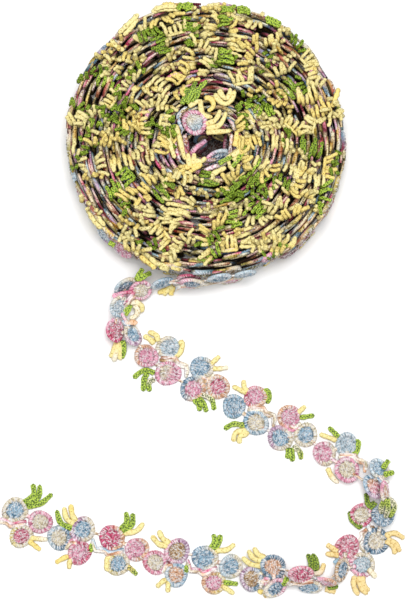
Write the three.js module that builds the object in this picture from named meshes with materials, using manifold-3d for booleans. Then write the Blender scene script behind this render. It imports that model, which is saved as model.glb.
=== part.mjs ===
// Embroidered lace ribbon: about four and a half metres of narrow flowered lace, wound flat into a roll
// that lies on its face, with its outer end running off in a loose S beside the roll.
// Millimetres, +Z up, the underside of the roll at z = 0.
//
// The lace is one long chain of clusters. Each cluster has three small round flowers, a spray of two
// short leaves on one edge of the ribbon and a spray of three or four long leaves on the other, and
// narrow worked bars that tie flower to flower. Two layouts take turns along the ribbon.
import * as THREE from "three";
import { mergeVertices } from "three/addons/utils/BufferGeometryUtils.js";
import Module from "manifold-3d";

const wasm = await Module();
wasm.setup();

// The lace

const CLUSTER_PITCH = 22.3;      // along the ribbon, from one cluster to the next
const LACE_THICKNESS = 1.7;      // of the sheet that the flowers and bars make up
const RIM_HEIGHT = 2.0;          // of a flower's corded rim, from the underside
const EYE_HEIGHT = 1.5;          // of the worked middle of a flower
const FLOWER_SIDES = 8;
const LEAF_WIDTH = 2.1;
const LEAF_THICKNESS = 1.5;
const BAR_WIDTH = 1.3;
const BAR_THICKNESS = 1.0;
const WEB_THICKNESS = 0.9;
const LEAF_ROOT = 0.5;           // how far out in its flower a leaf starts, as a share of the radius
const BAR_ROOT = 0.25;           // and a bar
const LEAF_TIP_SHARE = 0.6;
const JOIN_TOLERANCE = 0.1;
const PINPRICK = 0.05;           // cubic millimetres
const LOW_EDGE = 11.2;           // how far the flowers reach to the short-leaf edge of the ribbon

// One layout of the chain. Places are along the ribbon and across it, where across is positive towards
// the edge with the short leaves. A leaf grows out of the flower with the number that it names and goes
// through its path. A bar ties a flower to one of the next cluster.
const LAYOUTS = [
  {
    flowers: [
      { along: -6.2, across: -2.2, radius: 5.0 },
      { along: 0.2, across: 6.2, radius: 4.9 },
      { along: 5.7, across: -4.0, radius: 5.6 },
    ],
    leaves: [
      { flower: 1, path: [[-6.4, 5.2], [-11.2, 5.5]] },
      { flower: 1, path: [[-5.6, 7.6], [-8.8, 10.4]] },
      { flower: 1, path: [[4.8, 9.6], [5.9, 5.4], [4.0, 2.6]] },
      { flower: 2, path: [[-1.8, -7.0], [-4.9, -12.4]] },
      { flower: 2, path: [[0.6, -9.2], [0.9, -15.0]] },
      { flower: 2, path: [[3.0, -10.2], [4.5, -13.8]] },
    ],
    bars: [
      { from: 2, to: 0, by: [[12.4, 1.4]] },
      { from: 2, to: 1 },
    ],
  },
  {
    flowers: [
      { along: -3.5, across: 4.6, radius: 5.0 },
      { along: -2.6, across: -5.5, radius: 5.5 },
      { along: 6.5, across: 1.0, radius: 5.1 },
    ],
    leaves: [
      { flower: 0, path: [[1.0, 8.4], [1.3, 12.2]] },
      { flower: 0, path: [[3.0, 7.0], [6.4, 10.2]] },
      { flower: 1, path: [[2.4, -8.8], [4.2, -12.2]] },
      { flower: 1, path: [[4.4, -8.0], [7.8, -11.6]] },
      { flower: 1, path: [[5.4, -6.2], [10.4, -8.4]] },
    ],
    bars: [
      { from: 2, to: 0 },
    ],
  },
];

// The loose end: where each cluster lies, from the roll outwards. The heading is the way the ribbon
// runs, in degrees from +X towards +Y. The tilt turns the ribbon about that line: 0 lies face up,
// 90 stands on its short-leaf edge, 180 lies face down.
const LOOSE_CLUSTERS = [
  { x: 12.4, y: 8.3, heading: 191, tilt: 88 },
  { x: -9.5, y: 5.0, heading: 184, tilt: 77 },
  { x: -30.5, y: 1.5, heading: 196, tilt: 40 },
  { x: -34.5, y: -11.0, heading: 298, tilt: 26 },
  { x: -18.6, y: -26.4, heading: 333, tilt: 0 },
  { x: 0.2, y: -35.8, heading: 331, tilt: 0 },
  { x: 19.8, y: -48.2, heading: 333, tilt: 0 },
  { x: 38.1, y: -57.2, heading: 332, tilt: 0 },
  { x: 59.2, y: -68.8, heading: 330, tilt: 4 },
  { x: 75.6, y: -79.6, heading: 304, tilt: 42 },
  { x: 73.2, y: -99.2, heading: 248, tilt: 180 },
  { x: 63.0, y: -113.2, heading: 222, tilt: 180 },
  { x: 46.5, y: -122.2, heading: 176, tilt: 62 },
  { x: 27.1, y: -121.5, heading: 176, tilt: 16 },
  { x: 5.5, y: -117.3, heading: 172, tilt: 0 },
  { x: -14.6, y: -114.8, heading: 172, tilt: 0 },
  { x: -35.0, y: -109.4, heading: 164, tilt: 0 },
  { x: -56.0, y: -105.1, heading: 165, tilt: 0 },
  { x: -77.2, y: -97.4, heading: 166, tilt: 0 },
];

// In the tight bend below the roll the lace is crumpled, and these flowers lie out of their layout
const CRUMPLED_FLOWERS = [
  { cluster: 2, flower: 0, x: -27.5, y: 3.2, z: 6.0, heading: 196, tilt: 35 },
  { cluster: 2, flower: 2, x: -34.6, y: 4.8, z: 11.0, heading: 204, tilt: 62 },
  { cluster: 2, flower: 1, x: -37.4, y: 1.2, z: 7.0, heading: 200, tilt: 80 },
  { cluster: 3, flower: 0, x: -38.6, y: -4.4, z: 8.5, heading: 255, tilt: 30 },
  { cluster: 3, flower: 1, x: -39.4, y: -13.6, z: 6.0, heading: 278, tilt: 42 },
];

// The wound part: a flat spiral that starts at the hole in its middle and runs clockwise outwards

const TURNS = 20;
const HOLE = { x: 1.7, y: 65.2, halfLength: 9.6, halfWidth: 6.9 };
const ROLL = { x: 0.7, y: 67.6, radius: 60.2 };
const EXIT_ANGLE = -66;          // degrees, where the outermost turn ends and the loose end begins
const STEPS_PER_TURN = 42;
const CREST_HEIGHT = 20.6;       // the upper edge of the flowers in a turn
const VALLEY_HEIGHT = 18.0;      // as far down as one sees between two turns
const LEAF_BED = 22.4;           // height of the middle of a leaf that has flopped over the turns
const WALL_BULGE = 1.0;          // how far the outer wall stands out past its upper and lower edge

// The inner end: it crosses the hole on edge, and its last cluster is folded over the turns
const INNER_END = {
  crossing: [[-5.4, 61.2], [-2.8, 64.4], [1.2, 68.0]],
  crossingHeight: 19.4,
  flower: { x: -3.8, y: 74.2, radius: 5.2 },
  leaves: [
    [[0.6, 74.0], [6.4, 72.2], [10.8, 72.8]],
    [[0.4, 75.0], [5.6, 75.0], [8.8, 78.6]],
    [[1.0, 76.0], [2.2, 81.0], [-0.4, 85.4]],
    [[2.0, 78.0], [7.4, 81.2], [11.2, 86.4]],
  ],
};

// No leaf of the wound part starts within reach of these places, where the ends of the ribbon lie
const KEPT_CLEAR = [
  { x: -3.8, y: 74.2, reach: 9 },
  { x: -5.0, y: 62.0, reach: 5 },
  { x: 7.0, y: 73.0, reach: 9 },
  { x: 4.0, y: 83.0, reach: 10 },
  { x: 14.0, y: 9.0, reach: 12 },
];

// The middle of the whole part's bounding box as drawn. The part is moved to bring it over the origin.
const MIDDLE = { x: -0.2, y: -2.6 };

const PALETTE = {
  leafYellow: 0xe9d48c,
  flowerPink: 0xdc9ab4,
  leafCream: 0xeadfb8,
};

// An even scatter of numbers from 0 to 1, the same on every run
function scatter(index, row) {
  const value = Math.sin(index * 12.9898 + row * 78.233) * 43758.5453;
  return value - Math.floor(value);
}

const between = (low, high, share) => low + (high - low) * share;
const radians = (degrees) => (degrees * Math.PI) / 180;

// A closed solid through rings of equally many points, its two ends closed over their middles
function loft(rings) {
  const sides = rings[0].length;
  const points = rings.flat();
  const triangles = [];
  for (let ring = 0; ring + 1 < rings.length; ring += 1) {
    for (let side = 0; side < sides; side += 1) {
      const here = ring * sides + side;
      const next = ring * sides + ((side + 1) % sides);
      triangles.push([here, next, next + sides], [here, next + sides, here + sides]);
    }
  }
  const middleOf = (ring) => {
    const middle = new THREE.Vector3();
    ring.forEach((point) => middle.add(point));
    return middle.divideScalar(ring.length);
  };
  const first = points.push(middleOf(rings[0])) - 1;
  const last = points.push(middleOf(rings[rings.length - 1])) - 1;
  const lastRing = (rings.length - 1) * sides;
  for (let side = 0; side < sides; side += 1) {
    const next = (side + 1) % sides;
    triangles.push([first, next, side], [last, lastRing + side, lastRing + next]);
  }
  return solidOf(points, triangles);
}

function solidOf(points, triangles) {
  const mesh = new wasm.Mesh({
    numProp: 3,
    vertProperties: new Float32Array(points.flatMap((point) => [point.x, point.y, point.z])),
    triVerts: new Uint32Array(triangles.flat()),
  });
  const solid = new wasm.Manifold(mesh);
  return solid.volume() < 0 ? new wasm.Manifold(turnedInsideOut(mesh)) : solid;
}

function turnedInsideOut(mesh) {
  const triVerts = Uint32Array.from(mesh.triVerts);
  for (let corner = 0; corner < triVerts.length; corner += 3) {
    [triVerts[corner + 1], triVerts[corner + 2]] = [triVerts[corner + 2], triVerts[corner + 1]];
  }
  return new wasm.Mesh({ numProp: 3, vertProperties: mesh.vertProperties, triVerts });
}

// Solids joined into one, without the slivers and pin-pricks of air that the joins leave inside
function joined(solids) {
  const pieces = wasm.Manifold.union(solids).simplify(JOIN_TOLERANCE).decompose();
  pieces.sort((a, b) => b.volume() - a.volume());
  const [body, ...rest] = pieces;
  const adrift = rest.filter((piece) => piece.volume() > PINPRICK);
  if (adrift.length > 0) {
    const corners = adrift.map((piece) => piece.boundingBox().min.map(Math.round).join(" "));
    throw new Error(`pieces of the lace aren't joined to the rest, near ${corners.join(", ")}`);
  }
  return body;
}

function meshOf(name, solid, colour, roughness = 0.85) {
  const { vertProperties, triVerts } = solid.getMesh();
  let geometry = new THREE.BufferGeometry();
  geometry.setAttribute("position", new THREE.BufferAttribute(new Float32Array(vertProperties), 3));
  geometry.setIndex(new THREE.BufferAttribute(new Uint32Array(triVerts), 1));
  geometry.translate(-MIDDLE.x, -MIDDLE.y, 0);
  geometry = mergeVertices(geometry, 1e-4);
  geometry.computeVertexNormals();
  const material = new THREE.MeshStandardMaterial({ color: colour, roughness, metalness: 0 });
  const mesh = new THREE.Mesh(geometry, material);
  mesh.name = name;
  return mesh;
}

// A frame has an origin and three directions: along the ribbon, across it and out of its face
function frameFrom(origin, heading, tilt) {
  const along = new THREE.Vector3(Math.cos(heading), Math.sin(heading), 0);
  const flatAcross = new THREE.Vector3(-Math.sin(heading), Math.cos(heading), 0);
  const up = new THREE.Vector3(0, 0, 1);
  const across = flatAcross.clone().multiplyScalar(Math.cos(tilt)).addScaledVector(up, -Math.sin(tilt));
  const face = new THREE.Vector3().crossVectors(along, across);
  return { origin, along, across, face };
}

function pointIn(frame, along, across, out) {
  return frame.origin.clone()
    .addScaledVector(frame.along, along)
    .addScaledVector(frame.across, across)
    .addScaledVector(frame.face, out);
}

// The loose end's middle line at a station counted in clusters, a smooth curve through the clusters
function looseFrame(station) {
  const last = LOOSE_CLUSTERS.length - 1;
  const index = Math.min(Math.max(Math.floor(station), 0), last - 1);
  const from = LOOSE_CLUSTERS[index];
  const to = LOOSE_CLUSTERS[index + 1];
  const beyond = station < 0 || station > last;
  if (beyond) {
    const end = station < 0 ? LOOSE_CLUSTERS[0] : LOOSE_CLUSTERS[last];
    const extra = (station - (station < 0 ? 0 : last)) * CLUSTER_PITCH;
    const heading = radians(end.heading);
    const origin = new THREE.Vector3(
      end.x + extra * Math.cos(heading),
      end.y + extra * Math.sin(heading),
      restingHeight(end.tilt),
    );
    return frameFrom(origin, heading, radians(end.tilt));
  }
  const t = station - index;
  const [a, b] = [radians(from.heading), radians(to.heading)];
  const start = new THREE.Vector2(Math.cos(a), Math.sin(a)).multiplyScalar(CLUSTER_PITCH);
  const finish = new THREE.Vector2(Math.cos(b), Math.sin(b)).multiplyScalar(CLUSTER_PITCH);
  const blend = (p, q, u, v) =>
    (2 * t ** 3 - 3 * t ** 2 + 1) * p + (t ** 3 - 2 * t ** 2 + t) * u
    + (3 * t ** 2 - 2 * t ** 3) * q + (t ** 3 - t ** 2) * v;
  const slope = (p, q, u, v) =>
    (6 * t ** 2 - 6 * t) * (p - q) + (3 * t ** 2 - 4 * t + 1) * u + (3 * t ** 2 - 2 * t) * v;
  const tilt = between(from.tilt, to.tilt, t * t * (3 - 2 * t));
  const origin = new THREE.Vector3(
    blend(from.x, to.x, start.x, finish.x),
    blend(from.y, to.y, start.y, finish.y),
    restingHeight(tilt),
  );
  const heading = Math.atan2(
    slope(from.y, to.y, start.y, finish.y),
    slope(from.x, to.x, start.x, finish.x),
  );
  return frameFrom(origin, heading, radians(tilt));
}

// A ribbon that leans over stands on its lower edge, so its middle line rises
function restingHeight(tilt) {
  return LACE_THICKNESS / 2 + LOW_EDGE * Math.abs(Math.sin(radians(tilt)));
}

// A place on the loose end, from a cluster and a place in its layout
function looseFrameAt(cluster, along, across) {
  const frame = looseFrame(cluster + along / CLUSTER_PITCH);
  frame.origin = pointIn(frame, 0, across, 0);
  return frame;
}

function crumpledFrame(cluster, number) {
  const row = CRUMPLED_FLOWERS.find((each) => each.cluster === cluster && each.flower === number);
  return row && frameFrom(new THREE.Vector3(row.x, row.y, row.z), radians(row.heading), radians(row.tilt));
}

function flowerFrame(cluster, number) {
  const { along, across } = LAYOUTS[cluster % 2].flowers[number];
  return crumpledFrame(cluster, number) ?? looseFrameAt(cluster, along, across);
}

function flower(frame, radius) {
  const ring = (share, height) => {
    const points = [];
    for (let side = 0; side < FLOWER_SIDES; side += 1) {
      const angle = (2 * Math.PI * side) / FLOWER_SIDES;
      const reach = radius * share;
      const point = pointIn(frame, reach * Math.cos(angle), reach * Math.sin(angle),
        height - LACE_THICKNESS / 2);
      point.z = Math.max(point.z, 0);
      points.push(point);
    }
    return points;
  };
  return loft([ring(1, 0), ring(0.84, RIM_HEIGHT), ring(0.5, EYE_HEIGHT)]);
}

// A strand with a flat underside and a ridge along its top, drawn in towards its far end
function strand(path, faces, width, thickness, endShare) {
  const rings = path.map((point, index) => {
    const before = path[Math.max(index - 1, 0)];
    const after = path[Math.min(index + 1, path.length - 1)];
    const way = after.clone().sub(before).normalize();
    const face = faces[index].clone().addScaledVector(way, -faces[index].dot(way)).normalize();
    const side = new THREE.Vector3().crossVectors(way, face);
    const share = index === path.length - 1 ? endShare : 1;
    const half = { width: (width / 2) * share, thickness: (thickness / 2) * share };
    const below = point.clone().addScaledVector(face, -half.thickness);
    return [
      below.clone().addScaledVector(side, half.width),
      point.clone().addScaledVector(face, half.thickness),
      below.clone().addScaledVector(side, -half.width),
    ];
  });
  rings.flat().forEach((corner) => { corner.z = Math.max(corner.z, 0); });
  return loft(rings);
}

// A leaf of the loose end, rooted inside the rim of its flower
function looseLeaf(cluster, layout, { flower: number, path }) {
  const { along, across, radius } = layout.flowers[number];
  const reach = new THREE.Vector2(path[0][0] - along, path[0][1] - across).setLength(radius * LEAF_ROOT);
  const places = [[along + reach.x, across + reach.y]].concat(path);
  const own = crumpledFrame(cluster, number);
  const frames = places.map((place) => (own
    ? { ...own, origin: pointIn(own, place[0] - along, place[1] - across, 0) }
    : looseFrameAt(cluster, ...place)));
  return strand(frames.map(({ origin }) => origin), frames.map(({ face }) => face),
    LEAF_WIDTH, LEAF_THICKNESS, LEAF_TIP_SHARE);
}

// A bar of the loose end, from inside a flower of one cluster to inside a flower of the next
function looseBar(cluster, layout, { from, to, by = [] }) {
  const start = layout.flowers[from];
  const finish = LAYOUTS[(cluster + 1) % 2].flowers[to];
  const frames = [
    flowerFrame(cluster, from),
    ...by.map((place) => looseFrameAt(cluster, ...place)),
    flowerFrame(cluster + 1, to),
  ];
  const points = frames.map(({ origin }) => origin);
  const inset = (end, next, radius) =>
    points[end].clone().addScaledVector(points[next].clone().sub(points[end]).normalize(),
      radius * BAR_ROOT);
  const last = points.length - 1;
  const first = inset(0, 1, start.radius);
  const final = inset(last, last - 1, finish.radius);
  return strand([first, ...points.slice(1, last), final], frames.map(({ face }) => face),
    BAR_WIDTH, BAR_THICKNESS, 1);
}

// The stitches between a cluster's three flowers, as one thin web from middle to middle
function looseWeb(cluster, layout) {
  const frames = layout.flowers.map((each, number) => flowerFrame(cluster, number));
  const level = (out) => frames.map((frame) => pointIn(frame, 0, 0, out));
  return loft([level(-WEB_THICKNESS / 2), level(WEB_THICKNESS / 2)]);
}

function looseEnd() {
  const solids = [];
  LOOSE_CLUSTERS.forEach((row, cluster) => {
    const layout = LAYOUTS[cluster % 2];
    const isLast = cluster === LOOSE_CLUSTERS.length - 1;
    layout.flowers.forEach(({ radius }, number) => {
      solids.push(flower(flowerFrame(cluster, number), radius));
    });
    layout.leaves.forEach((leaf) => solids.push(looseLeaf(cluster, layout, leaf)));
    solids.push(looseWeb(cluster, layout));
    if (!isLast) {
      layout.bars.forEach((bar) => solids.push(looseBar(cluster, layout, bar)));
    }
  });
  return joined(solids);
}

// The spiral's middle line, from 0 at the hole to 1 where the loose end begins
function spiralPoint(share) {
  const angle = radians(EXIT_ANGLE) + 2 * Math.PI * TURNS * (1 - share);
  return new THREE.Vector2(
    between(HOLE.x, ROLL.x, share) + between(HOLE.halfLength, ROLL.radius, share) * Math.cos(angle),
    between(HOLE.y, ROLL.y, share) + between(HOLE.halfWidth, ROLL.radius, share) * Math.sin(angle),
  );
}

// Where the clusters of the wound part stand: a share of the spiral and a heading for each
function woundClusters() {
  const clusters = [];
  const pieces = TURNS * 240;
  let length = 0;
  let nextAt = CLUSTER_PITCH / 2;
  for (let piece = 0; piece < pieces; piece += 1) {
    const here = spiralPoint(piece / pieces);
    const ahead = spiralPoint((piece + 1) / pieces);
    length += here.distanceTo(ahead);
    if (length >= nextAt) {
      const way = ahead.clone().sub(here);
      clusters.push({ point: here, heading: Math.atan2(way.y, way.x) });
      nextAt += CLUSTER_PITCH;
    }
  }
  return clusters;
}

// The body of the roll: a spiral of crests, one for each turn, with a valley between two turns,
// closed by rounded walls and a flat underside
function woundBody() {
  const points = [];
  const triangles = [];
  const steps = TURNS * STEPS_PER_TURN;
  const add = (spot, height, inward = 0) => {
    const point = new THREE.Vector3(spot.x, spot.y, height);
    if (inward) {
      const toMiddle = new THREE.Vector3(ROLL.x - spot.x, ROLL.y - spot.y, 0).normalize();
      point.addScaledVector(toMiddle, inward);
    }
    return points.push(point) - 1;
  };
  const crests = [];
  const valleys = [];
  for (let step = 0; step <= steps; step += 1) {
    const rise = 1.4 * (scatter(step, 3) - 0.5);
    crests.push(add(spiralPoint(step / steps), CREST_HEIGHT + rise));
  }
  for (let step = 0; step <= steps - STEPS_PER_TURN; step += 1) {
    const inner = spiralPoint(step / steps);
    const outer = spiralPoint((step + STEPS_PER_TURN) / steps);
    valleys.push(add(inner.add(outer).multiplyScalar(0.5), VALLEY_HEIGHT));
  }
  const quad = (a, b, c, d) => triangles.push([a, b, c], [a, c, d]);
  for (let step = 0; step < steps - STEPS_PER_TURN; step += 1) {
    const over = step + STEPS_PER_TURN;
    quad(crests[step], crests[step + 1], valleys[step + 1], valleys[step]);
    quad(valleys[step], valleys[step + 1], crests[over + 1], crests[over]);
  }
  // Inner and outer edge of the top, each a turn of the spiral and a short step across one turn
  const innerEdge = crests.slice(0, STEPS_PER_TURN + 1).concat(valleys[0]);
  const outerEdge = [valleys[valleys.length - 1]].concat(crests.slice(steps - STEPS_PER_TURN));
  const levels = (edge, heights) => {
    const rows = [edge];
    heights.forEach(([height, inward]) => {
      rows.push(edge.map((index) => add(points[index], height, inward)));
    });
    return rows;
  };
  const innerRows = levels(innerEdge, [[0, 0]]);
  const outerRows = levels(outerEdge, [
    [CREST_HEIGHT * 0.82, -WALL_BULGE], [CREST_HEIGHT * 0.2, -WALL_BULGE], [0, 0],
  ]);
  const wall = (rows, outward) => {
    for (let row = 0; row + 1 < rows.length; row += 1) {
      const count = rows[row].length;
      for (let index = 0; index < count; index += 1) {
        const next = (index + 1) % count;
        const corners = [rows[row][index], rows[row][next], rows[row + 1][next], rows[row + 1][index]];
        quad(...(outward ? corners : corners.reverse()));
      }
    }
  };
  wall(innerRows, false);
  wall(outerRows, true);
  // The underside is a flat band between the two lowest edges
  const innerFoot = innerRows[innerRows.length - 1];
  const outerFoot = outerRows[outerRows.length - 1];
  return { points, triangles, innerFoot, outerFoot };
}

function wound() {
  const { points, triangles, innerFoot, outerFoot } = woundBody();
  bridgeUnderside(points, triangles, innerFoot, outerFoot);
  const body = solidOf(points, triangles);
  const solids = [body];
  woundClusters().forEach(({ point, heading }, index) => {
    const isClear = KEPT_CLEAR.every(({ x, y, reach }) => Math.hypot(point.x - x, point.y - y) > reach);
    if (index % 5 < 2 && isClear) {
      solids.push(floppedLeaf(point, heading, index));
    }
  });
  return joined(solids);
}

// Two loops of nearly equal counts joined by triangles, always stepping on where the turn lags behind
function bridgeUnderside(points, triangles, innerFoot, outerFoot) {
  const angleOf = (index) => Math.atan2(points[index].y - HOLE.y, points[index].x - HOLE.x);
  const turnsOf = (loop) => {
    let total = 0;
    return loop.concat(loop[0]).map((index, position, all) => {
      if (position > 0) {
        let step = angleOf(index) - angleOf(all[position - 1]);
        step -= 2 * Math.PI * Math.round(step / (2 * Math.PI));
        total += step;
      }
      return total;
    });
  };
  const start = innerFoot.reduce((best, index, position) => {
    const off = (candidate) => {
      const turn = angleOf(candidate) - angleOf(outerFoot[0]);
      return Math.abs(turn - 2 * Math.PI * Math.round(turn / (2 * Math.PI)));
    };
    return off(index) < off(innerFoot[best]) ? position : best;
  }, 0);
  const inner = innerFoot.slice(start).concat(innerFoot.slice(0, start));
  const innerTurns = turnsOf(inner);
  const outerTurns = turnsOf(outerFoot);
  let [i, o] = [0, 0];
  while (i < inner.length || o < outerFoot.length) {
    const innerLags = Math.abs(innerTurns[i]) <= Math.abs(outerTurns[o]);
    const stepInner = o >= outerFoot.length || (i < inner.length && innerLags);
    const [a, b] = [inner[i % inner.length], outerFoot[o % outerFoot.length]];
    if (stepInner) {
      i += 1;
      triangles.push([a, b, inner[i % inner.length]]);
    } else {
      o += 1;
      triangles.push([a, b, outerFoot[o % outerFoot.length]]);
    }
  }
}

// A long leaf that stands up out of a turn and flops over along it
function floppedLeaf(point, heading, index) {
  const swing = radians(between(-55, 55, scatter(index, 1)));
  const length = between(5.5, 8.5, scatter(index, 2));
  const lift = between(0, 1.0, scatter(index, 4));
  const way = heading + swing + (scatter(index, 5) > 0.5 ? Math.PI : 0);
  const spot = (reach, height) =>
    new THREE.Vector3(point.x + reach * Math.cos(way), point.y + reach * Math.sin(way), height);
  const path = [
    spot(0, CREST_HEIGHT - 1.6),
    spot(length * 0.28, LEAF_BED + lift),
    spot(length, LEAF_BED + lift + 0.6),
  ];
  const up = new THREE.Vector3(0, 0, 1);
  return strand(path, [up, up, up], LEAF_WIDTH, LEAF_THICKNESS + 0.3, 0.65);
}

function innerEnd() {
  const { crossing, crossingHeight, flower: eye, leaves } = INNER_END;
  const bedHeight = CREST_HEIGHT + 1.2;
  const up = new THREE.Vector3(0, 0, 1);
  const wallThickness = LACE_THICKNESS;
  const footings = crossing.map(([x, y], index) => {
    const [before, after] = [crossing[Math.max(index - 1, 0)], crossing[Math.min(index + 1, 2)]];
    const way = new THREE.Vector2(after[0] - before[0], after[1] - before[1]).normalize();
    const side = new THREE.Vector2(-way.y, way.x).multiplyScalar(wallThickness / 2);
    const corner = (sign, height) => new THREE.Vector3(x + sign * side.x, y + sign * side.y, height);
    return [corner(1, 0), corner(1, crossingHeight), corner(-1, crossingHeight), corner(-1, 0)];
  });
  const solids = [loft(footings)];
  const lying = frameFrom(new THREE.Vector3(eye.x, eye.y, bedHeight + LACE_THICKNESS / 2),
    radians(-60), 0);
  solids.push(flower(lying, eye.radius));
  const crossingEnd = crossing[crossing.length - 1];
  const riser = [
    new THREE.Vector3(crossingEnd[0] - 0.5, crossingEnd[1] - 0.4, crossingHeight - 1.5),
    new THREE.Vector3(crossingEnd[0] - 0.8, crossingEnd[1] + 0.2, bedHeight + 0.8),
    new THREE.Vector3(eye.x + 2.4, eye.y - 3.4, bedHeight + 0.8),
  ];
  solids.push(strand(riser, [up, up, up], LEAF_WIDTH, BAR_THICKNESS, 1));
  leaves.forEach((path, index) => {
    const height = bedHeight + LEAF_THICKNESS / 2 + 0.3 + 0.25 * index;
    const start = new THREE.Vector3(eye.x + 3.0, eye.y + 0.6, bedHeight + LEAF_THICKNESS / 2);
    const points = [start].concat(path.map(([x, y]) => new THREE.Vector3(x, y, height)));
    solids.push(strand(points, points.map(() => up), LEAF_WIDTH, LEAF_THICKNESS, 0.6));
  });
  return joined(solids);
}

const group = new THREE.Group();
group.add(meshOf("wound_roll", wound(), PALETTE.leafYellow));
group.add(meshOf("loose_end", looseEnd(), PALETTE.flowerPink));
group.add(meshOf("inner_end", innerEnd(), PALETTE.leafCream));

export default group;
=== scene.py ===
"""Embroidered lace ribbon: a flat roll of narrow flowered lace with its outer end lying loose in an S.

The lace is a chain of clusters. Each has three small round flowers, a spray of two short leaves on one
edge and a spray of three long leaves on the other, all worked in satin stitch with a thread that
changes colour as it runs. Lengths are in millimetres until a piece is finished, when it is brought to
metres and to the frame. A ribbon place is (along, across, out): along the chain, across it towards the
edge with the short leaves, and out of its face.
"""

import math

import bmesh
import bpy
import numpy as np
from mathutils import Matrix, Vector


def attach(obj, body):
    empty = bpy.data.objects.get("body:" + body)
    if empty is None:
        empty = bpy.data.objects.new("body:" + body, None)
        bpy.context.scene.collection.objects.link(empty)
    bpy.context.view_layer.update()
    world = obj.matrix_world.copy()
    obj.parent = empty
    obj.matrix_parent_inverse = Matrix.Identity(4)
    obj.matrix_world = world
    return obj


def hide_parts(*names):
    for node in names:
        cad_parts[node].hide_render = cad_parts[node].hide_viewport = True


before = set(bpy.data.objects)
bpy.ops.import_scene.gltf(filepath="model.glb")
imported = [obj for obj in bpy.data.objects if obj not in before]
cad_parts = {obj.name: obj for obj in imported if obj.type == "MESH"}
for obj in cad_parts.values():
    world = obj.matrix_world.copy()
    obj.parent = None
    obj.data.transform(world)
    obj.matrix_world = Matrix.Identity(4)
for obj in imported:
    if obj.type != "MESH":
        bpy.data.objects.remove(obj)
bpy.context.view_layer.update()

MM = 0.001
MIDDLE = np.array([-0.2, -2.6, 0.0])    # the middle of the whole part as drawn, brought over the origin
LOWEST = 0.02                   # of any thread, over the surface that the ribbon lies on
SEED = 7

# The lace
CLUSTER_PITCH = 22.3
LACE_THICKNESS = 1.7
LOW_EDGE = 11.2                 # how far the flowers reach to the short-leaf edge of the ribbon
LEAF_WIDTH = 2.7
SHORT_LEAF_WIDTH = 2.4
LEAF_THICKNESS = 1.5
LEAF_ROOT = 0.88                # how far out in its flower a leaf starts, as a share of the radius
LEAF_LUMPS = 0.09               # how far a leaf's width varies
RIBBON_LEAF_LIFTS = (0.1, 0.5, 0.3, 0.1)    # of a leaf's places over the ribbon's middle
LINK_WIDTH = 2.0                # between two flowers of a cluster
BAR_WIDTH = 1.2                 # from a cluster to the next
BAR_THICKNESS = 0.9
RUFFLE_WIDTH = 1.8

# A flower, drawn with a radius of 5
FLOWER_RADIUS = 5.0
RIM_WIDTH = 1.75                # of the cord under the rim's stitches, seen from above
RIM_HEIGHT = 1.4
RIM_STITCHES = 60
RIM_STITCH_WIDTH = 0.42
RIM_STITCH_LEAN = 0.15          # of a stitch round the flower, in radians
RIM_STITCH_HEIGHTS = (0.35, 0.1)    # of a stitch's inner and outer end
RIM_STITCH_RISE = 0.55
EYE_RADIUS = 3.45               # of the worked ground inside the rim
EYE_THICKNESS = 0.8
EYE_DROP = 0.35                 # of a row of stitches from its middle to the rim
EYE_STITCH_WIDTH = 0.46
EYE_STITCH_LENGTHS = (0.8, 1.7)
EYE_STITCH_RISE = 0.12
EYE_ROW_GAP = 0.46              # between two rows of stitches in the middle
CROSSING_STITCHES = 12          # that lie over the rows
LUMPS = (0.04, 0.03)            # how far a flower is from round, twice and three times round it

# The two kinds of cluster, which take turns: each flower's place and radius, the flower of the next
# cluster that it is tied to, the ruffle between its flowers, the bar along the upper edge where it is
# wound, and the flower that has the short leaves
LAYOUTS = [
    {
        "flowers": [(-6.0, -2.2, 5.2), (0.2, 6.1, 5.1), (5.6, -4.0, 5.7)],
        "next": 1,
        "ruffle": [(-0.4, -0.4), (2.8, 1.9), (6.2, 2.5), (8.4, 1.7), (12.0, 1.8), (14.2, -1.4)],
        "upper_bar": [(10.6, -5.6), (14.6, -7.2)],
        "low_flower": 1,
    },
    {
        "flowers": [(-3.5, 4.6, 5.2), (-2.6, -5.4, 5.6), (6.4, 1.0, 5.3)],
        "next": 0,
        "ruffle": [(-1.6, 0.0), (0.9, 1.2), (2.4, 3.6)],
        "upper_bar": [(2.6, -6.2), (6.8, -4.4), (11.4, -3.6)],
        "low_flower": 0,
    },
]
LINKS = [(0, 1), (1, 2), (0, 2)]    # the pairs of a cluster's flowers that are tied together

# Thread colours, as seen in daylight. A thread called pink-cream runs from the one to the other.
THREADS = {
    "pink": (246, 178, 202),
    "deep": (230, 106, 146),
    "rose": (236, 146, 170),
    "peach": (241, 197, 163),
    "cream": (242, 232, 206),
    "tan": (210, 178, 134),
    "ivory": (240, 227, 162),
    "butter": (240, 226, 158),
    "straw": (242, 219, 134),
    "rust": (182, 116, 86),
    "olive": (190, 180, 110),
    "lime": (190, 206, 96),
    "green": (184, 210, 82),
    "moss": (152, 178, 64),
    "sky": (202, 221, 231),
    "blue": (166, 200, 221),
    "slate": (130, 164, 188),
    "lilac": (212, 176, 204),
    "plum": (154, 66, 88),
    "brick": (186, 92, 84),
    "teal": (98, 130, 142),
    "gold": (222, 182, 108),
    "wheat": (238, 214, 152),
}
GREENS = ("lime", "green", "moss")
LINK_THREADS = ["cream-peach", "pink-cream", "cream", "sky-cream", "peach-tan"]
COLOUR_CHANGE = 2.6             # how much faster than evenly a thread's colour changes in its middle
LIGHTEST = 0.9                  # of any thread, as light
# The painted highlight that a stitch between the turns is lightened towards
WOUND_LIGHTEST = np.array([0.9, 0.81, 0.56])
BRIGHT_STITCHES = 0.5           # the share of them that catch the light
BRIGHT_BARS = 0.45
BRIGHT_TURNS = 0.34
NOT_DEEP = 0.74                 # the share of stitches that don't sit deep
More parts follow.
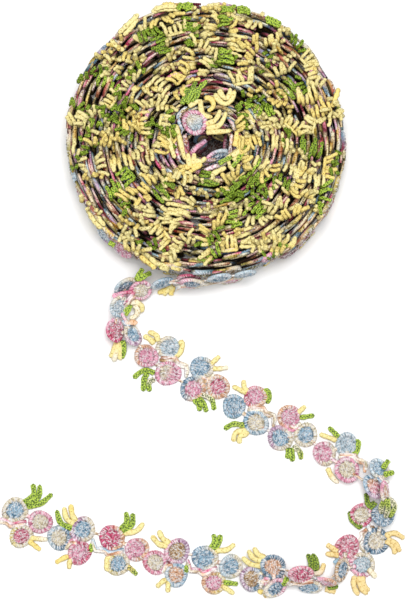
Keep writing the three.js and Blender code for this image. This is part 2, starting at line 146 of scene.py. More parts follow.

# The stitching of the leaves, and what a thread's colour is multiplied by where it is deep: the tints of a
# painted shade in its pits, holes, grooves, low places and edges
PINHOLE_PITCH = 2.1             # along a pale leaf
PINHOLE_RADIUS = 0.32
SATIN_PITCH = 0.55              # from a satin stitch to the next
PIT_PITCH = 1.25                # along each of the two rows in a green leaf
PIT_RADIUS = 0.4
PIT_ROW = 0.16                  # how far a row is from the middle, as a share of half the width
RING_HOLE_RADIUS = 0.3
TIP_HOLE_EDGE = 9.0             # how steeply the painted shade at a leaf's tip ends
RELIEF = 0.2                    # of the stitching, as bump
RELIEF_STRENGTH = 0.5
THREAD_ROUGHNESS = 0.5
# Tints of the painted shade in pale leaves, wound pale leaves, green leaves, flower cords and stitches, and
# the wound cords
AMBER_SHADE = (0.6, 0.42, 0.13, 1.0)
BROWN_SHADE = (0.36, 0.25, 0.07, 1.0)
GREEN_SHADE = (0.09, 0.14, 0.04, 1.0)
GROOVE_SHADE = (0.46, 0.32, 0.34, 1.0)
OLIVE_SHADE = (0.3, 0.22, 0.08, 1.0)
MIX_FACTOR, MIX_A, MIX_B, MIX_COLOUR = 0, 6, 7, 2

# The loose end from the roll outwards: where a cluster lies, its heading and tilt in degrees, and the
# threads of each flower's rim and middle and of the ruffle between them
LOOSE_CLUSTERS = [
    # x, y, heading, tilt, rims, middles, ruffle
    (12.4, 8.3, 191, 88, "sky cream sky", "blue pink blue", "tan-cream"),
    (-9.5, 5.0, 184, 77, "plum-deep cream-pink blue-sky", "plum slate blue", "cream-sky"),
    (-30.5, 1.5, 196, 40, "pink deep-pink cream-sky", "cream pink slate", "deep-pink"),
    (-34.5, -11.0, 298, 26, "cream-sky pink-deep cream-lilac", "sky rose blue", "blue-slate"),
    (-18.6, -26.4, 333, 0, "peach-pink cream-sky pink", "pink sky cream-pink", "tan-cream"),
    (0.2, -35.8, 331, 0, "blue-cream slate-peach peach", "blue pink rose", "tan-peach"),
    (19.8, -48.2, 333, 0, "blue rose-peach blue-sky", "blue pink cream", "cream-tan"),
    (38.1, -57.2, 332, 0, "peach-pink lilac-cream cream", "pink blue blue", "pink-deep"),
    (59.2, -68.8, 330, 4, "pink-cream sky pink", "pink sky cream", "cream-peach"),
    (75.6, -79.6, 304, 42, "sky-cream blue-lilac pink-cream", "blue peach-pink peach", "blue-sky"),
    (73.2, -99.2, 248, 180, "slate rose-deep slate", "blue cream cream", "tan-cream"),
    (63.0, -113.2, 222, 180, "rose cream-pink tan", "rose sky slate", "deep-pink"),
    (46.5, -122.2, 176, 62, "peach-pink cream-blue rose", "pink blue deep", "peach-tan"),
    (27.1, -121.5, 176, 16, "pink-cream slate slate-lilac", "slate peach tan", "pink-cream"),
    (5.5, -117.3, 172, 0, "cream-sky straw-peach cream-blue", "blue pink blue", "deep-pink"),
    (-14.6, -114.8, 172, 0, "blue-sky lilac-pink pink-rose", "peach tan cream", "plum-tan"),
    (-35.0, -109.4, 164, 0, "peach-pink cream-butter peach-deep", "pink blue deep", "blue-sky"),
    (-56.0, -105.1, 165, 0, "deep-rose cream-lilac slate-sky", "pink blue cream", "pink-deep"),
    (-77.2, -97.4, 166, 0, "pink cream-butter cream", "cream rose blue", "deep-pink"),
]

# In the tight bends below the roll and at the right these flowers lie out of their layout
CRUMPLED_FLOWERS = {
    # (cluster, flower): x, y, z, heading, tilt
    (1, 0): (-6.4, 8.0, 12.0, 180, 84),
    (1, 1): (-5.1, 5.5, 13.0, 177, 80),
    (1, 2): (-18.0, 6.2, 9.0, 199, 80),
    (2, 0): (-27.5, 3.4, 6.0, 208, 42),
    (2, 1): (-34.6, 1.4, 6.0, 191, 83),
    (2, 2): (-34.3, 5.1, 9.0, 210, 75),
    (3, 0): (-36.9, -4.0, 8.0, 252, 50),
    (3, 1): (-38.6, -14.2, 6.0, 275, 50),
    (3, 2): (-31.0, -16.0, 4.4, 295, 48),
    (9, 1): (73.3, -82.4, 7.0, 308, 40),
    (10, 1): (68.4, -94.2, 1.6, 248, 180),
    (11, 2): (59.4, -117.7, 4.6, 256, 55),
    (12, 0): (52.1, -122.8, 7.0, 169, 76),
    (13, 0): (30.8, -125.5, 4.6, 206, 45),
}

# Leaves of the loose end by the cluster and the flower that they grow from: thread and way to the tip
RIBBON_LEAVES = {
    (5, 0): [("butter", (-0.6, 8.6), (0.6, 12.9)), ("butter-cream", (2.4, 7.6), (5.6, 10.6))],
    (5, 1): [
        ("green", (1.2, -9.4), (4.0, -10.4), (5.6, -12.4)),
        ("green", (2.2, -8.0), (5.6, -8.8), (8.4, -11.0)),
        ("cream-green", (3.0, -5.6), (7.2, -5.2), (10.6, -8.4)),
    ],
    (6, 1): [
        ("butter", (-6.2, 5.4), (-11.2, 4.8)),
        ("butter", (-6.4, 7.0), (-8.8, 9.8)),
        ("green", (3.6, 11.0), (6.4, 8.6), (6.2, 5.6), (4.8, 3.0)),
    ],
    (6, 2): [
        ("lime-green", (0.4, -7.6), (-2.6, -9.0), (-4.6, -13.0)),
        ("butter", (2.0, -9.6), (-0.4, -12.0), (0.4, -15.8)),
        ("butter", (3.6, -10.4), (1.9, -12.4), (3.0, -15.4)),
    ],
    (7, 0): [("butter", (-0.4, 8.8), (0.8, 12.2)), ("green", (2.2, 7.4), (5.8, 10.4))],
    (8, 1): [
        ("butter", (-6.4, 5.0), (-11.4, 4.2)),
        ("green", (-5.8, 7.6), (-9.6, 8.8)),
        ("green", (4.8, 9.6), (6.4, 5.2), (3.8, 2.0)),
    ],
    (13, 1): [
        ("butter", (3.4, -5.4), (8.2, -5.2), (12.6, -7.2)),
        ("butter", (3.0, -7.6), (7.4, -8.0), (10.8, -10.8)),
        ("butter", (2.0, -9.2), (5.8, -10.2), (8.4, -12.6)),
    ],
    (13, 0): [("green", (-8.8, 1.6), (-9.8, -1.4))],
    (14, 1): [("green", (-5.8, 5.0), (-10.8, 4.4)), ("butter", (-6.0, 7.4), (-10.2, 9.0))],
    (14, 2): [
        ("green", (3.0, -9.4), (2.2, -12.0), (3.4, -14.6)),
        ("green", (1.6, -9.0), (0.2, -11.8), (0.4, -14.8)),
        ("butter", (0.4, -7.8), (-3.0, -8.8), (-5.6, -12.0)),
    ],
    (15, 0): [
        ("butter", (-0.6, 9.2), (-1.0, 12.6)),
        ("butter", (1.6, 8.2), (3.6, 11.2)),
        ("green", (-8.0, 2.2), (-9.0, -0.8)),
    ],
    (15, 1): [
        ("butter", (3.2, -6.8), (7.2, -7.2), (11.6, -9.8)),
        ("butter", (2.4, -8.6), (5.6, -9.8), (8.8, -12.8)),
    ],
    (16, 1): [("straw-lime", (-5.8, 6.4), (-9.6, 8.2)), ("butter", (4.8, 9.6), (6.0, 5.4), (4.0, 2.6))],
    (16, 2): [
        ("green", (2.4, -9.2), (1.4, -12.6), (2.6, -16.4)),
        ("green", (0.8, -8.8), (-0.8, -12.4), (0.2, -16.6)),
        ("butter", (0.0, -7.8), (-3.4, -9.8), (-5.4, -14.0)),
    ],
    (17, 0): [
        ("butter", (-0.6, 9.2), (-1.0, 12.4)),
        ("straw", (1.6, 8.2), (4.2, 11.6)),
        ("green", (-8.0, 2.4), (-8.6, -0.6)),
    ],
    (17, 1): [
        ("green", (3.2, -4.8), (8.2, -5.2), (12.0, -9.6)),
        ("butter", (3.0, -6.8), (6.6, -8.0), (9.6, -12.0)),
        ("butter-straw", (2.0, -8.4), (4.6, -10.2), (7.2, -14.2)),
    ],
    (18, 1): [("straw", (-5.2, 7.4), (-10.8, 9.0)), ("butter-cream", (-5.6, 5.4), (-11.8, 3.6))],
    (18, 2): [
        ("green", (2.0, -9.0), (-0.4, -12.4), (1.0, -17.0)),
        ("green", (0.6, -8.6), (-2.2, -11.8), (-1.4, -17.4)),
        ("green", (-0.2, -7.4), (-3.6, -9.6), (-6.4, -15.4)),
    ],
}

# and, where the ribbon bends or has been pulled, by place on the table
TABLE_LEAVES = [
    ("straw", (-13.3, 6.2, 2.0), (-16.7, 4.1, 2.0), (-20.2, 2.9, 1.4)),
    ("butter", (-13.3, 6.0, 2.2), (-15.6, 4.1, 2.2), (-17.7, 2.1, 1.4)),
    ("straw", (-12.9, 5.8, 2.0), (-14.0, 3.7, 2.0), (-14.3, 1.8, 1.4)),
    ("green", (-29.6, 7.0, 10.0), (-28.0, 9.8, 10.6), (-26.5, 12.6, 9.4)),
    ("green", (-28.4, 7.4, 10.0), (-25.6, 9.2, 10.4), (-22.8, 10.8, 9.0)),
    ("cream-butter", (-33.6, -2.8, 5.0), (-29.8, -1.6, 4.6), (-27.0, -3.2, 3.2), (-27.4, -5.8, 1.6)),
    ("cream", (-30.4, -2.6, 4.2), (-28.9, -4.8, 3.4), (-29.6, -7.2, 2.6), (-32.4, -8.8, 2.6)),
    ("green", (-34.6, -7.2, 4.6), (-33.2, -5.6, 5.2), (-31.8, -2.8, 5.8)),
    ("green", (-35.0, -4.8, 5.4), (-32.6, -5.2, 5.6)),
    ("lime", (-33.6, -11.6, 4.6), (-33.9, -9.4, 5.2)),
    ("peach", (-32.1, -11.0, 5.0), (-30.5, -10.4, 5.2), (-29.4, -11.6, 5.0)),
    ("butter", (-38.0, -18.8, 3.0), (-39.1, -22.5, 2.6), (-40.9, -25.6, 1.4)),
    ("butter-cream", (-37.4, -19.0, 3.2), (-38.0, -22.9, 2.8), (-39.4, -27.4, 1.4)),
    ("butter", (-36.7, -18.8, 3.0), (-36.6, -22.5, 2.6), (-36.4, -26.7, 1.4)),
    ("green", (-35.7, -18.2, 3.2), (-34.7, -21.7, 2.8), (-35.9, -26.2, 1.4)),
    ("butter", (-19.8, -18.6, 1.2), (-20.9, -15.7, 1.2), (-24.4, -14.1, 1.0)),
    ("butter", (-21.6, -19.7, 1.0), (-23.3, -17.6, 1.0), (-26.3, -15.9, 1.0)),
    ("butter", (-10.4, -17.8, 1.0), (-9.3, -20.3, 1.0), (-10.5, -23.8, 1.0), (-12.6, -25.6, 1.0)),
    ("green", (-21.3, -32.6, 1.2), (-24.4, -31.3, 1.2), (-27.8, -32.1, 1.0), (-30.7, -34.7, 1.0)),
    ("green", (-24.4, -32.4, 1.0), (-26.0, -35.4, 1.0), (-26.3, -40.4, 1.0)),
    ("cream-green", (-21.3, -35.0, 1.0), (-23.8, -36.6, 1.0), (-23.6, -40.6, 1.0)),
    ("green", (37.1, -65.1, 1.0), (36.9, -67.6, 1.0), (36.2, -69.8, 1.0)),
    ("green", (37.8, -65.1, 1.2), (38.6, -68.0, 1.2), (38.6, -71.1, 1.0)),
    ("cream-lime", (38.9, -64.2, 1.0), (41.8, -66.6, 1.0), (42.5, -70.2, 1.0)),
    ("butter-cream", (53.9, -73.7, 1.0), (55.6, -77.4, 1.2), (58.6, -80.4, 1.0)),
    ("green", (77.2, -74.6, 7.0), (80.2, -70.7, 6.0)),
    ("green", (77.6, -77.2, 7.6), (82.4, -76.0, 6.6)),
    ("cream-lime", (78.8, -87.2, 13.4), (81.9, -91.0, 11.8), (79.6, -95.6, 8.8)),
    ("lime-cream", (78.4, -87.6, 13.8), (79.0, -91.6, 12.4), (78.0, -95.8, 9.0)),
    ("lime-cream", (77.8, -87.8, 13.4), (76.2, -91.0, 11.4), (76.6, -94.0, 8.4)),
    ("moss", (74.0, -91.6, 2.6), (71.2, -89.4, 2.6), (70.6, -84.6, 1.4)),
    ("moss", (74.6, -90.6, 2.8), (72.6, -88.6, 2.8)),
    ("moss", (68.6, -99.8, 2.0), (64.7, -97.0, 1.6), (63.1, -92.6, 1.2)),
    ("wheat", (78.4, -103.4, 2.0), (82.4, -102.0, 1.8), (86.9, -104.3, 1.4)),
    ("wheat", (79.2, -104.4, 2.2), (83.3, -106.9, 1.8), (84.9, -110.1, 1.4)),
    ("wheat", (78.6, -105.2, 2.0), (81.8, -107.4, 1.6), (82.8, -111.1, 1.2)),
    ("wheat", (65.1, -120.2, 2.0), (64.8, -124.6, 1.6), (66.8, -128.7, 1.2)),
    ("wheat", (66.8, -120.4, 2.0), (67.8, -125.3, 1.6), (70.7, -128.2, 1.2)),
    ("wheat", (68.3, -120.4, 2.2), (69.3, -124.8, 1.7), (71.6, -126.7, 1.2)),
    ("cream", (71.0, -117.2, 2.0), (74.6, -121.1, 1.4)),
    ("blue", (58.6, -113.2, 1.6), (56.4, -115.2, 1.5)),
    ("wheat", (58.0, -110.1, 2.0), (53.2, -106.8, 1.4)),
    ("wheat", (58.5, -111.6, 2.0), (52.7, -110.8, 1.4)),
    ("moss", (45.9, -118.3, 3.0), (46.3, -114.4, 2.4), (44.9, -110.9, 1.4)),
    ("moss", (48.1, -118.3, 3.0), (48.8, -114.7, 2.4), (47.0, -110.8, 1.4)),
    ("cream-wheat", (47.5, -119.4, 2.0), (50.5, -118.5, 1.8), (52.2, -114.9, 1.4)),
    ("moss", (53.3, -125.1, 3.2), (58.0, -124.8, 2.4)),
    ("wheat", (52.4, -125.8, 1.6), (57.0, -127.2, 1.2)),
    ("straw", (25.1, -126.0, 1.2), (24.0, -128.0, 1.2)),
    ("cream-wheat", (26.2, -126.5, 1.2), (27.3, -129.6, 1.2)),
    ("pink", (-34.6, 1.6, 8.6), (-37.4, 0.9, 9.0), (-39.8, 0.4, 8.6)),
]

# The wound part: a flat spiral from the hole in its middle, clockwise outwards
TURNS = 20
TURN_PLACES = 240               # how many places of each turn are worked out
HOLE = {"x": 1.7, "y": 65.2, "half_length": 9.6, "half_width": 6.9}
ROLL = {"x": 0.9, "y": 67.9, "radius": 60.5}
BULGE = 1.8                     # of the outer turns
BULGE_ANGLE = 132               # where it is, in degrees: at the upper left
EXIT_ANGLE = -66                # where the ribbon leaves the roll
ROLL_MIDLINE = LACE_THICKNESS / 2 + LOW_EDGE
UPPER_EDGE = 20.6               # height of the turns' upper edge
SWAY = 0.6                      # how far the upper edge of a turn wanders from the spiral
SWAY_PITCH = 9.0
LIFT = 1.0                      # and up and down
INNER_LEAN = 6.0                # how far the lower edge of the innermost turn comes into the hole
INNER_LEAN_LENGTH = 70
TIGHTNESS = 1.3                 # of a wound flower's thickness to a loose one's
DEEP_SHADE = np.array([0.05, 0.035, 0.01])    # what is left of the light between the turns
OPEN_EDGE = 1.2                 # how far below the upper edge it is light
SHADE_DEPTH = 1.9               # and how far below that it is dark

# The bars of a wound cluster: width and thickness, and the cords along its upper edge
UPPER_BAR = (1.7, 1.3)
WOUND_LINK = (5.5, 0.9)
EDGE_CORDS = 5
EDGE_CORD_LIMITS = ((-11, 6), (6, 12), (-9.4, -7.0))    # of start, length and place across the ribbon
EDGE_CORD_WIDTHS = (1.2, 2.1)
EDGE_CORD_THICKNESS = 1.4

# The threads seen along the upper edge of the turns
WOUND_RIMS = [
    "pink-lilac", "plum-rose", "teal-sky", "brick-peach", "rose-plum", "olive-cream", "gold-straw",
    "rust-plum", "lilac-slate", "sky-teal", "cream-olive", "olive-tan", "gold-brick", "deep-pink",
    "tan-olive", "cream-gold", "slate-plum", "straw-olive",
]
WOUND_MIDDLES = ["rose", "slate", "cream", "olive", "plum", "tan", "gold"]
PALE_LEAVES = ["butter", "butter", "ivory", "straw", "straw", "straw-butter"]
GREEN_LEAVES = ["green", "moss", "moss"]

# The leaves of the wound part
WOUND_LEAF_WIDTH = 2.1
GREEN_NARROWER = 0.88           # a green leaf there, to a pale one
WOUND_KNOBS = 4
LOW_LEAF_LEANS = (-4.4, 4.2)    # of the two short leaves of a cluster
LOW_LEAF_OUT = 0.9              # how far they are out of the ribbon's face
SPRAY_ROOT = -8.4               # where a spray comes up, across the ribbon
LEAF_BED = 22.4                 # height of the middle of a leaf that has flopped over the turns
LEAF_CEILING = 25.2             # and the highest that it may be
BED_REACH = 80                  # of the chart of lying leaves, from the roll's middle
BED_CELL = 0.5
LEAF_WAVE = 0.2                 # how far a leaf weaves from side to side
ROOT_DIP = 1.9                  # how far a leaf's root is below its middle
TRIALS = 22                     # places tried for a spray, of which the emptiest is taken
OVERHANG = 0.6                  # how far a leaf may reach past the roll's side
GREEN_WANDER = 2.5              # how far along the ribbon from its place a spray may start
PALE_WANDER = 9

# Where green sprays lie over the turns, and how many
GREEN_PATCHES = [
    (-8, 127, 1), (18, 125, 1), (5, 122, 1), (-11, 119, 1), (-26, 116, 1), (-17, 109, 1), (-7, 113, 1),
    (4, 106, 1), (12, 101, 1), (30, 120, 1), (40, 109, 1), (29, 101, 1), (45, 91, 1), (49, 102, 1),
    (-50, 97, 1), (-29, 98, 1), (-45, 88, 1), (-34, 84, 2), (-48, 74, 1), (-43, 80, 1), (-56, 80, 1),
    (-23, 75, 1), (-19, 72, 1), (-33, 72, 1), (-13, 76, 1), (23, 83, 2), (15, 77, 1), (35, 90, 1),
    (35, 67, 1), (-52, 61, 1), (-30, 52, 1), (-38, 45, 1), (-32, 38, 1), (-3, 51, 1), (-18, 46, 1),
    (22, 49, 3), (14, 42, 3), (27, 39, 2), (34, 49, 1), (45, 61, 1), (56, 54, 1), (49, 43, 1), (0, 25, 1),
    (8, 32, 1), (-24, 21, 1), (5, 15, 1), (-4, 11, 1), (33, 15, 1), (39, 24, 1),
]

# Where the turns lie bare, and how far round that place
BARE_PATCHES = [
    (-48, 88, 6), (-56, 71, 3), (6, 93, 6), (-14, 58, 5), (43, 80, 4), (54, 69, 6), (26, 62, 5),
    (35, 59, 4), (-47, 45, 6), (-41, 31, 5), (-4, 31, 5), (-6, 16, 5), (41, 29, 7), (8, 114, 4),
    (29, 116, 4), (-21, 102, 5), (-11, 113, 3), (8, 10, 6), (-38, 62, 4), (-4, 74, 9), (-6, 62, 7),
    (7, 73, 9), (4, 83, 10), (4, 62, 9), (14, 9, 12),
]

# How the leaves of a wound cluster lie: how often it is so, how many there are, the gap between their
# roots, how far each root is off its row, how far each leaf turns from the last and at random, how far
# they curl, how long they are, the spray's way from that of the turn, and how far their tips rise.
# Angles are in degrees.
HABITS = {
    "comb": {"share": 0.08, "leaves": (4, 5), "gap": 2.0, "scatter": 0.3, "spread": 5, "stray": 11,
             "curl": 30, "length": (4.0, 7.0), "way": (45, 135), "rise": (0.0, 1.2)},
    "tuft": {"share": 0.4, "leaves": (4, 6), "gap": 1.7, "scatter": 0.3, "spread": 22, "stray": 30,
             "curl": 70, "length": (2.8, 6.2), "way": (0, 180), "rise": (0.5, 2.4)},
    "lying": {"share": 0.2, "leaves": (4, 5), "gap": 2.0, "scatter": 1.1, "spread": 0, "stray": 10,
              "curl": 26, "length": (4.0, 9.0), "way": (-14, 14), "rise": (-0.4, 0.8)},
    "standing": {"share": 0.32, "leaves": (5, 7), "gap": 2.2, "scatter": 1.1, "spread": 0, "stray": 180,
                 "curl": 40, "length": (1.4, 3.2), "way": (0, 180), "rise": (1.6, 3.4)},
}

# What sticks out over the roll's side: thread, height and path
OUTLINE_LEAVES = [
    ("straw", 22.0, (56.0, 81.6), (57.8, 86.6), (58.9, 90.2)),
    ("green", 22.0, (58.4, 78.4), (59.2, 81.4)),
    ("ivory", 21.6, (25.0, 124.0), (26.5, 122.7)),
    ("green", 22.2, (27.0, 121.6), (30.4, 120.6), (34.0, 118.5)),
    ("green", 21.8, (27.4, 120.5), (30.6, 119.2), (33.6, 117.8)),
    ("green", 22.4, (14.6, 125.5), (17.3, 126.0), (20.3, 124.3)),
    ("green", 21.8, (14.8, 124.2), (17.6, 124.9), (20.6, 123.8)),
    ("ivory", 22.4, (8.9, 124.3), (11.3, 123.7), (14.2, 124.2)),
    ("ivory", 21.4, (1.2, 126.7), (5.6, 127.6), (10.0, 127.0)),
    ("straw", 22.0, (0.1, 124.7), (3.9, 125.8), (8.6, 126.6)),
    ("green", 22.0, (-8.3, 125.2), (-6.1, 126.2), (-4.0, 126.4)),
    ("green", 22.4, (-9.7, 126.0), (-7.2, 127.6), (-4.7, 127.1)),
    ("green", 22.6, (-11.3, 125.1), (-10.3, 126.8), (-9.5, 128.2)),
    ("straw", 22.0, (-18.2, 127.3), (-15.2, 127.7), (-12.5, 127.3)),
    ("ivory", 22.4, (-21.8, 125.4), (-16.3, 126.7), (-11.7, 126.6)),
    ("ivory", 21.6, (-22.9, 124.6), (-16.9, 125.7), (-10.3, 125.5)),
    ("ivory", 22.0, (-37.2, 114.6), (-33.4, 118.4), (-28.4, 123.4)),
    ("ivory", 21.6, (-35.0, 113.8), (-31.6, 117.4), (-28.8, 121.6)),
    ("butter", 22.0, (-40.4, 112.0), (-38.0, 108.8), (-34.6, 107.0)),
    ("butter", 20.6, (-48.9, 38.4), (-45.6, 33.0), (-42.6, 29.5)),
    ("butter", 19.6, (-50.4, 37.4), (-47.4, 32.0), (-44.2, 28.4)),
    ("green", 18.0, (-41.0, 22.8), (-38.4, 21.2)),
    ("butter", 20.6, (-26.9, 18.6), (-23.1, 15.5), (-19.2, 12.0)),
    ("straw", 20.0, (-27.4, 16.4), (-24.0, 13.6), (-20.6, 10.9)),
    ("green", 20.0, (-19.2, 12.7), (-14.9, 10.7)),
]
OUTLINE_FLOWERS = [
    # place, heading, tilt, radius, rim and middle
    ((-35.4, 20.4, 14.5), 140, 70, 5.4, "pink-lilac", "pink"),
    ((-42.6, 26.4, 14.0), 132, 76, 5.2, "lilac-blue", "sky"),
]

# The inner end crosses the hole on edge, and its last cluster is folded over the turns
CROSSING = [(-5.4, 61.2), (-2.8, 64.4), (1.2, 68.0)]
CROSSING_FLOWERS = [
    # place along it, height, rim and middle
    (2.6, 15.4, "pink", "plum"),
    (7.4, 13.0, "rose-lilac", "slate"),
    (5.0, 6.2, "plum", "plum"),
]
INNER_FLOWER = (-3.8, 74.6, 5.6)
INNER_BED = UPPER_EDGE + 1.6    # the height that the folded cluster lies on
INNER_GREEN_WIDTH = 2.3
INNER_LEAVES = [
    ("butter", (1.0, 70.2), (6.4, 70.4), (12.0, 70.9)),
    ("butter", (1.0, 71.9), (6.3, 73.0), (8.6, 76.0), (9.9, 79.4)),
    ("butter", (0.8, 73.7), (4.6, 75.2), (6.4, 77.6), (7.2, 80.3)),
    ("butter", (-1.4, 84.6), (-0.9, 80.0), (0.7, 77.6), (4.0, 76.9)),
    ("straw", (0.2, 85.6), (3.3, 84.9), (4.3, 81.7), (1.8, 79.4)),
    ("butter", (4.9, 87.6), (6.4, 84.6), (9.6, 82.7), (12.4, 84.8), (13.6, 89.0)),
    ("ivory", (6.8, 89.4), (8.2, 86.4), (10.0, 85.2), (11.4, 87.4), (11.6, 90.0)),
    ("green", (-9.4, 82.4), (-8.2, 86.4), (-7.0, 90.2)),
    ("green", (-7.4, 82.8), (-5.4, 86.6), (-3.8, 91.2)),
    ("green", (-5.2, 83.0), (-2.8, 86.4), (-0.4, 92.6)),
    ("moss", (-8.8, 84.8), (-5.6, 89.0), (-3.0, 93.0)),
    ("green", (-5.0, 87.4), (-1.4, 89.8), (1.6, 93.4)),
    ("ivory", (-6.4, 81.4), (-3.3, 83.7), (-0.4, 84.0)),
    ("butter", (-6.2, 55.0), (-6.5, 58.0), (-6.7, 61.0)),
    ("butter", (-4.7, 55.8), (-4.2, 58.3), (-4.0, 61.0)),
    ("ivory", (-3.9, 57.9), (-1.3, 57.3), (1.2, 59.0)),
    ("straw", (-8.2, 54.3), (-5.2, 55.5), (-2.2, 55.6)),
    ("straw", (-0.8, 56.4), (-2.8, 54.7), (-5.1, 53.5)),
    ("butter", (-12.1, 73.6), (-10.7, 68.9), (-9.5, 63.8), (-8.0, 58.0)),
    ("ivory", (-15.5, 70.9), (-14.7, 66.4), (-13.7, 62.6), (-12.4, 58.6)),
    ("green", (6.4, 56.2), (9.4, 58.0), (12.6, 59.2)),
    ("green", (12.3, 54.8), (15.4, 58.8), (19.1, 65.5)),
    ("ivory", (12.0, 59.6), (14.7, 61.3), (16.8, 63.2)),
    ("straw", (13.5, 63.8), (14.2, 67.4), (14.4, 70.8)),
    ("butter", (16.6, 67.4), (16.4, 64.9), (14.6, 62.9)),
    ("butter", (3.6, 51.5), (6.7, 53.2), (9.8, 54.7)),
]

# Strands round the hole: thread, width and path
INNER_STRANDS = [
    ("sky-blue", 2.1, (-7.0, 82.0), (-10.9, 78.2), (-10.4, 74.6), (-8.9, 71.2)),
    ("peach-rust", 2.0, (-8.6, 69.4), (-7.6, 67.2), (-8.3, 64.4)),
    ("rose-deep", 1.8, (-12.7, 66.8), (-11.7, 62.3), (-10.0, 57.4)),
    ("pink-cream", 2.2, (0.2, 53.5), (4.7, 55.5), (8.2, 56.5), (11.2, 58.6)),
    ("peach-rust", 2.0, (12.3, 70.0), (11.9, 65.1), (11.3, 60.4)),
    ("rose-tan", 2.0, (10.8, 77.4), (12.7, 74.3), (13.6, 71.2)),
    ("sky-slate", 1.8, (-16.4, 54.4), (-13.0, 52.4), (-9.4, 51.2), (-3.8, 50.8)),
]

# Flowers round the hole and down in it: where they are, heading, tilt and radius, rim and middle, and the
# light left there, painted into their colours as shade
INNER_WALLS = [
    ((5.6, 60.0, 15.4), 212, 66, 6.4, "sky-pink", "slate", 1.0),
    ((-8.4, 66.0, 14.6), 100, 74, 5.4, "rose-plum", "plum", 0.8),
    ((-5.6, 59.8, 13.4), 150, 72, 5.0, "tan-peach", "rose", 0.8),
    ((9.8, 67.4, 12.0), 262, 84, 5.4, "plum-rose", "plum", 0.5),
    ((2.6, 74.0, 11.0), 0, 88, 5.6, "plum", "plum", 0.5),
    ((4.4, 67.2, 3.0), 40, 24, 6.4, "rust-plum", "rust", 0.18),
    ((-3.4, 62.6, 3.4), 130, 30, 5.6, "plum", "rust", 0.2),
    ((-4.6, 69.6, 4.0), 80, 38, 5.4, "rust", "plum", 0.2),
]

# The picture
CAMERA_ELEVATION = 82
CAMERA_DISTANCE = 0.9
CAMERA_LENS = 122.7
CAMERA_AIM = Vector((0.0002, 0.0026, 0.0))
FLOOR_REACH = 3
FLOOR_COLOUR = (0.97, 0.97, 0.97, 1)
FLOOR_ROUGHNESS = 0.9

# The light on the floor: from all round, and from each lamp
WORLD_STRENGTH = 0.26
LAMP_DISTANCE = 1.7
LAMPS = [
    # azimuth and elevation in degrees, size in metres, light
    (60, 80, 0.7, 0.52),
    (140, 77, 0.8, 0.19),
    (-130, 77, 0.8, 0.19),
    (-45, 77, 0.8, 0.19),
]

UP = np.array([0.0, 0.0, 1.0])


def between(low, high, share):
    """What lies this share of the way from low to high."""
    return low + (high - low) * share


def unit(vectors):
    return vectors / np.maximum(np.linalg.norm(vectors, axis=-1, keepdims=True), 1e-9)


# Thread colours

def as_light(seen):
    """A colour as light, from the colour as seen."""
    seen = np.array(seen) / 255
    return np.where(seen <= 0.04045, seen / 12.92, ((seen + 0.055) / 1.055) ** 2.4)


def thread(name, share):
    """The colour of a thread where it has run this share of its way."""
    first, _, last = name.partition("-")
    start, finish = (as_light(THREADS[part]) for part in (first, last or first))
    share = np.clip((np.asarray(share) - 0.5) * COLOUR_CHANGE + 0.5, 0, 1)
    return start + np.multiply.outer(share, finish - start)


def shaded(colours, rng, bright_share=BRIGHT_STITCHES, brightest=LIGHTEST):
    """Some stitches catch the light, some lie as they are, and some sit deep between the others."""
    luck = rng.random((len(colours), 1))
    bright = colours + (brightest - colours) * 0.8
    deep = colours ** 1.8 * 0.6
    return np.where(luck < bright_share, bright, np.where(luck < NOT_DEEP, colours, deep))


def shade_at(open_share):
    """What is left of the light between the turns, from 0 deep down to 1 in the open."""
    return between(DEEP_SHADE, np.ones(3), open_share[:, None] ** 1.4)


def wound_colours(name, share, points, rng):
    """A thread's colours at points between the turns, with painted highlights and a painted shade that
    deepens below the turns' upper edge.
    """
    open_share = np.clip(1 - (UPPER_EDGE - OPEN_EDGE - points[:, 2]) / SHADE_DEPTH, 0, 1)
    return shaded(thread(name, share), rng, BRIGHT_TURNS, WOUND_LIGHTEST) * shade_at(open_share)


def toned(colours, spread, rng):
    """Colours that are a little lighter or darker from point to point."""
    return np.minimum(colours * (1 + spread * (rng.random((len(colours), 1)) - 0.5)), LIGHTEST)


# Small forms, made once and then copied

class Form:
    """The points and triangles of a small closed shape."""

    def __init__(self, bm):
        bmesh.ops.triangulate(bm, faces=bm.faces[:])
        bmesh.ops.recalc_face_normals(bm, faces=bm.faces[:])
        bm.verts.index_update()
        self.points = np.array([v.co for v in bm.verts])
        # The operators leave the faces in no fixed order, so they are put in one
        faces = np.array([[v.index for v in f.verts] for f in bm.faces])
        lowest = faces.argmin(1)[:, None]
        faces = np.take_along_axis(faces, (lowest + np.arange(3)) % 3, 1)
        self.triangles = faces[np.lexsort(faces.T[::-1])]
        bm.free()


def rod(rings, sides):
    """A rod along X through rings of (place, radius), closed at both ends."""
    bm = bmesh.new()
    place, radius = rings[0]
    upright = Matrix.Translation((place, 0, 0)) @ Matrix.Rotation(math.pi / 2, 4, "Y")
    bmesh.ops.create_circle(bm, segments=sides, radius=radius, matrix=upright)
    ring = bm.edges[:]
    for next_place, next_radius in rings[1:]:
        grown = bmesh.ops.extrude_edge_only(bm, edges=ring)["geom"]
        verts = [v for v in grown if isinstance(v, bmesh.types.BMVert)]
        ring = [e for e in grown if isinstance(e, bmesh.types.BMEdge) and set(e.verts) <= set(verts)]
        bmesh.ops.translate(bm, verts=verts, vec=(next_place - place, 0, 0))
        widening = next_radius / radius
        bmesh.ops.scale(bm, verts=verts, vec=(1, widening, widening))
        place, radius = next_place, next_radius
    bmesh.ops.holes_fill(bm, edges=bm.edges[:], sides=0)
    return Form(bm)


def knobbly_rod(knobs, depth, taper, sides):
    """A rod of unit length and radius that swells and narrows as a thread wound round it does."""
    steps = 2 * knobs
    swells = [(step / steps, (1.0 if step % 2 else 1.0 - depth) * (1 - taper * (step / steps) ** 2))
              for step in range(1, steps)]
    ends = [(share, (1 - taper) * radius) for share, radius in ((0.965, 0.62), (1.0, 0.26))]
    return rod([(0.0, 0.26), (0.035, 0.62), *swells, *ends], sides)


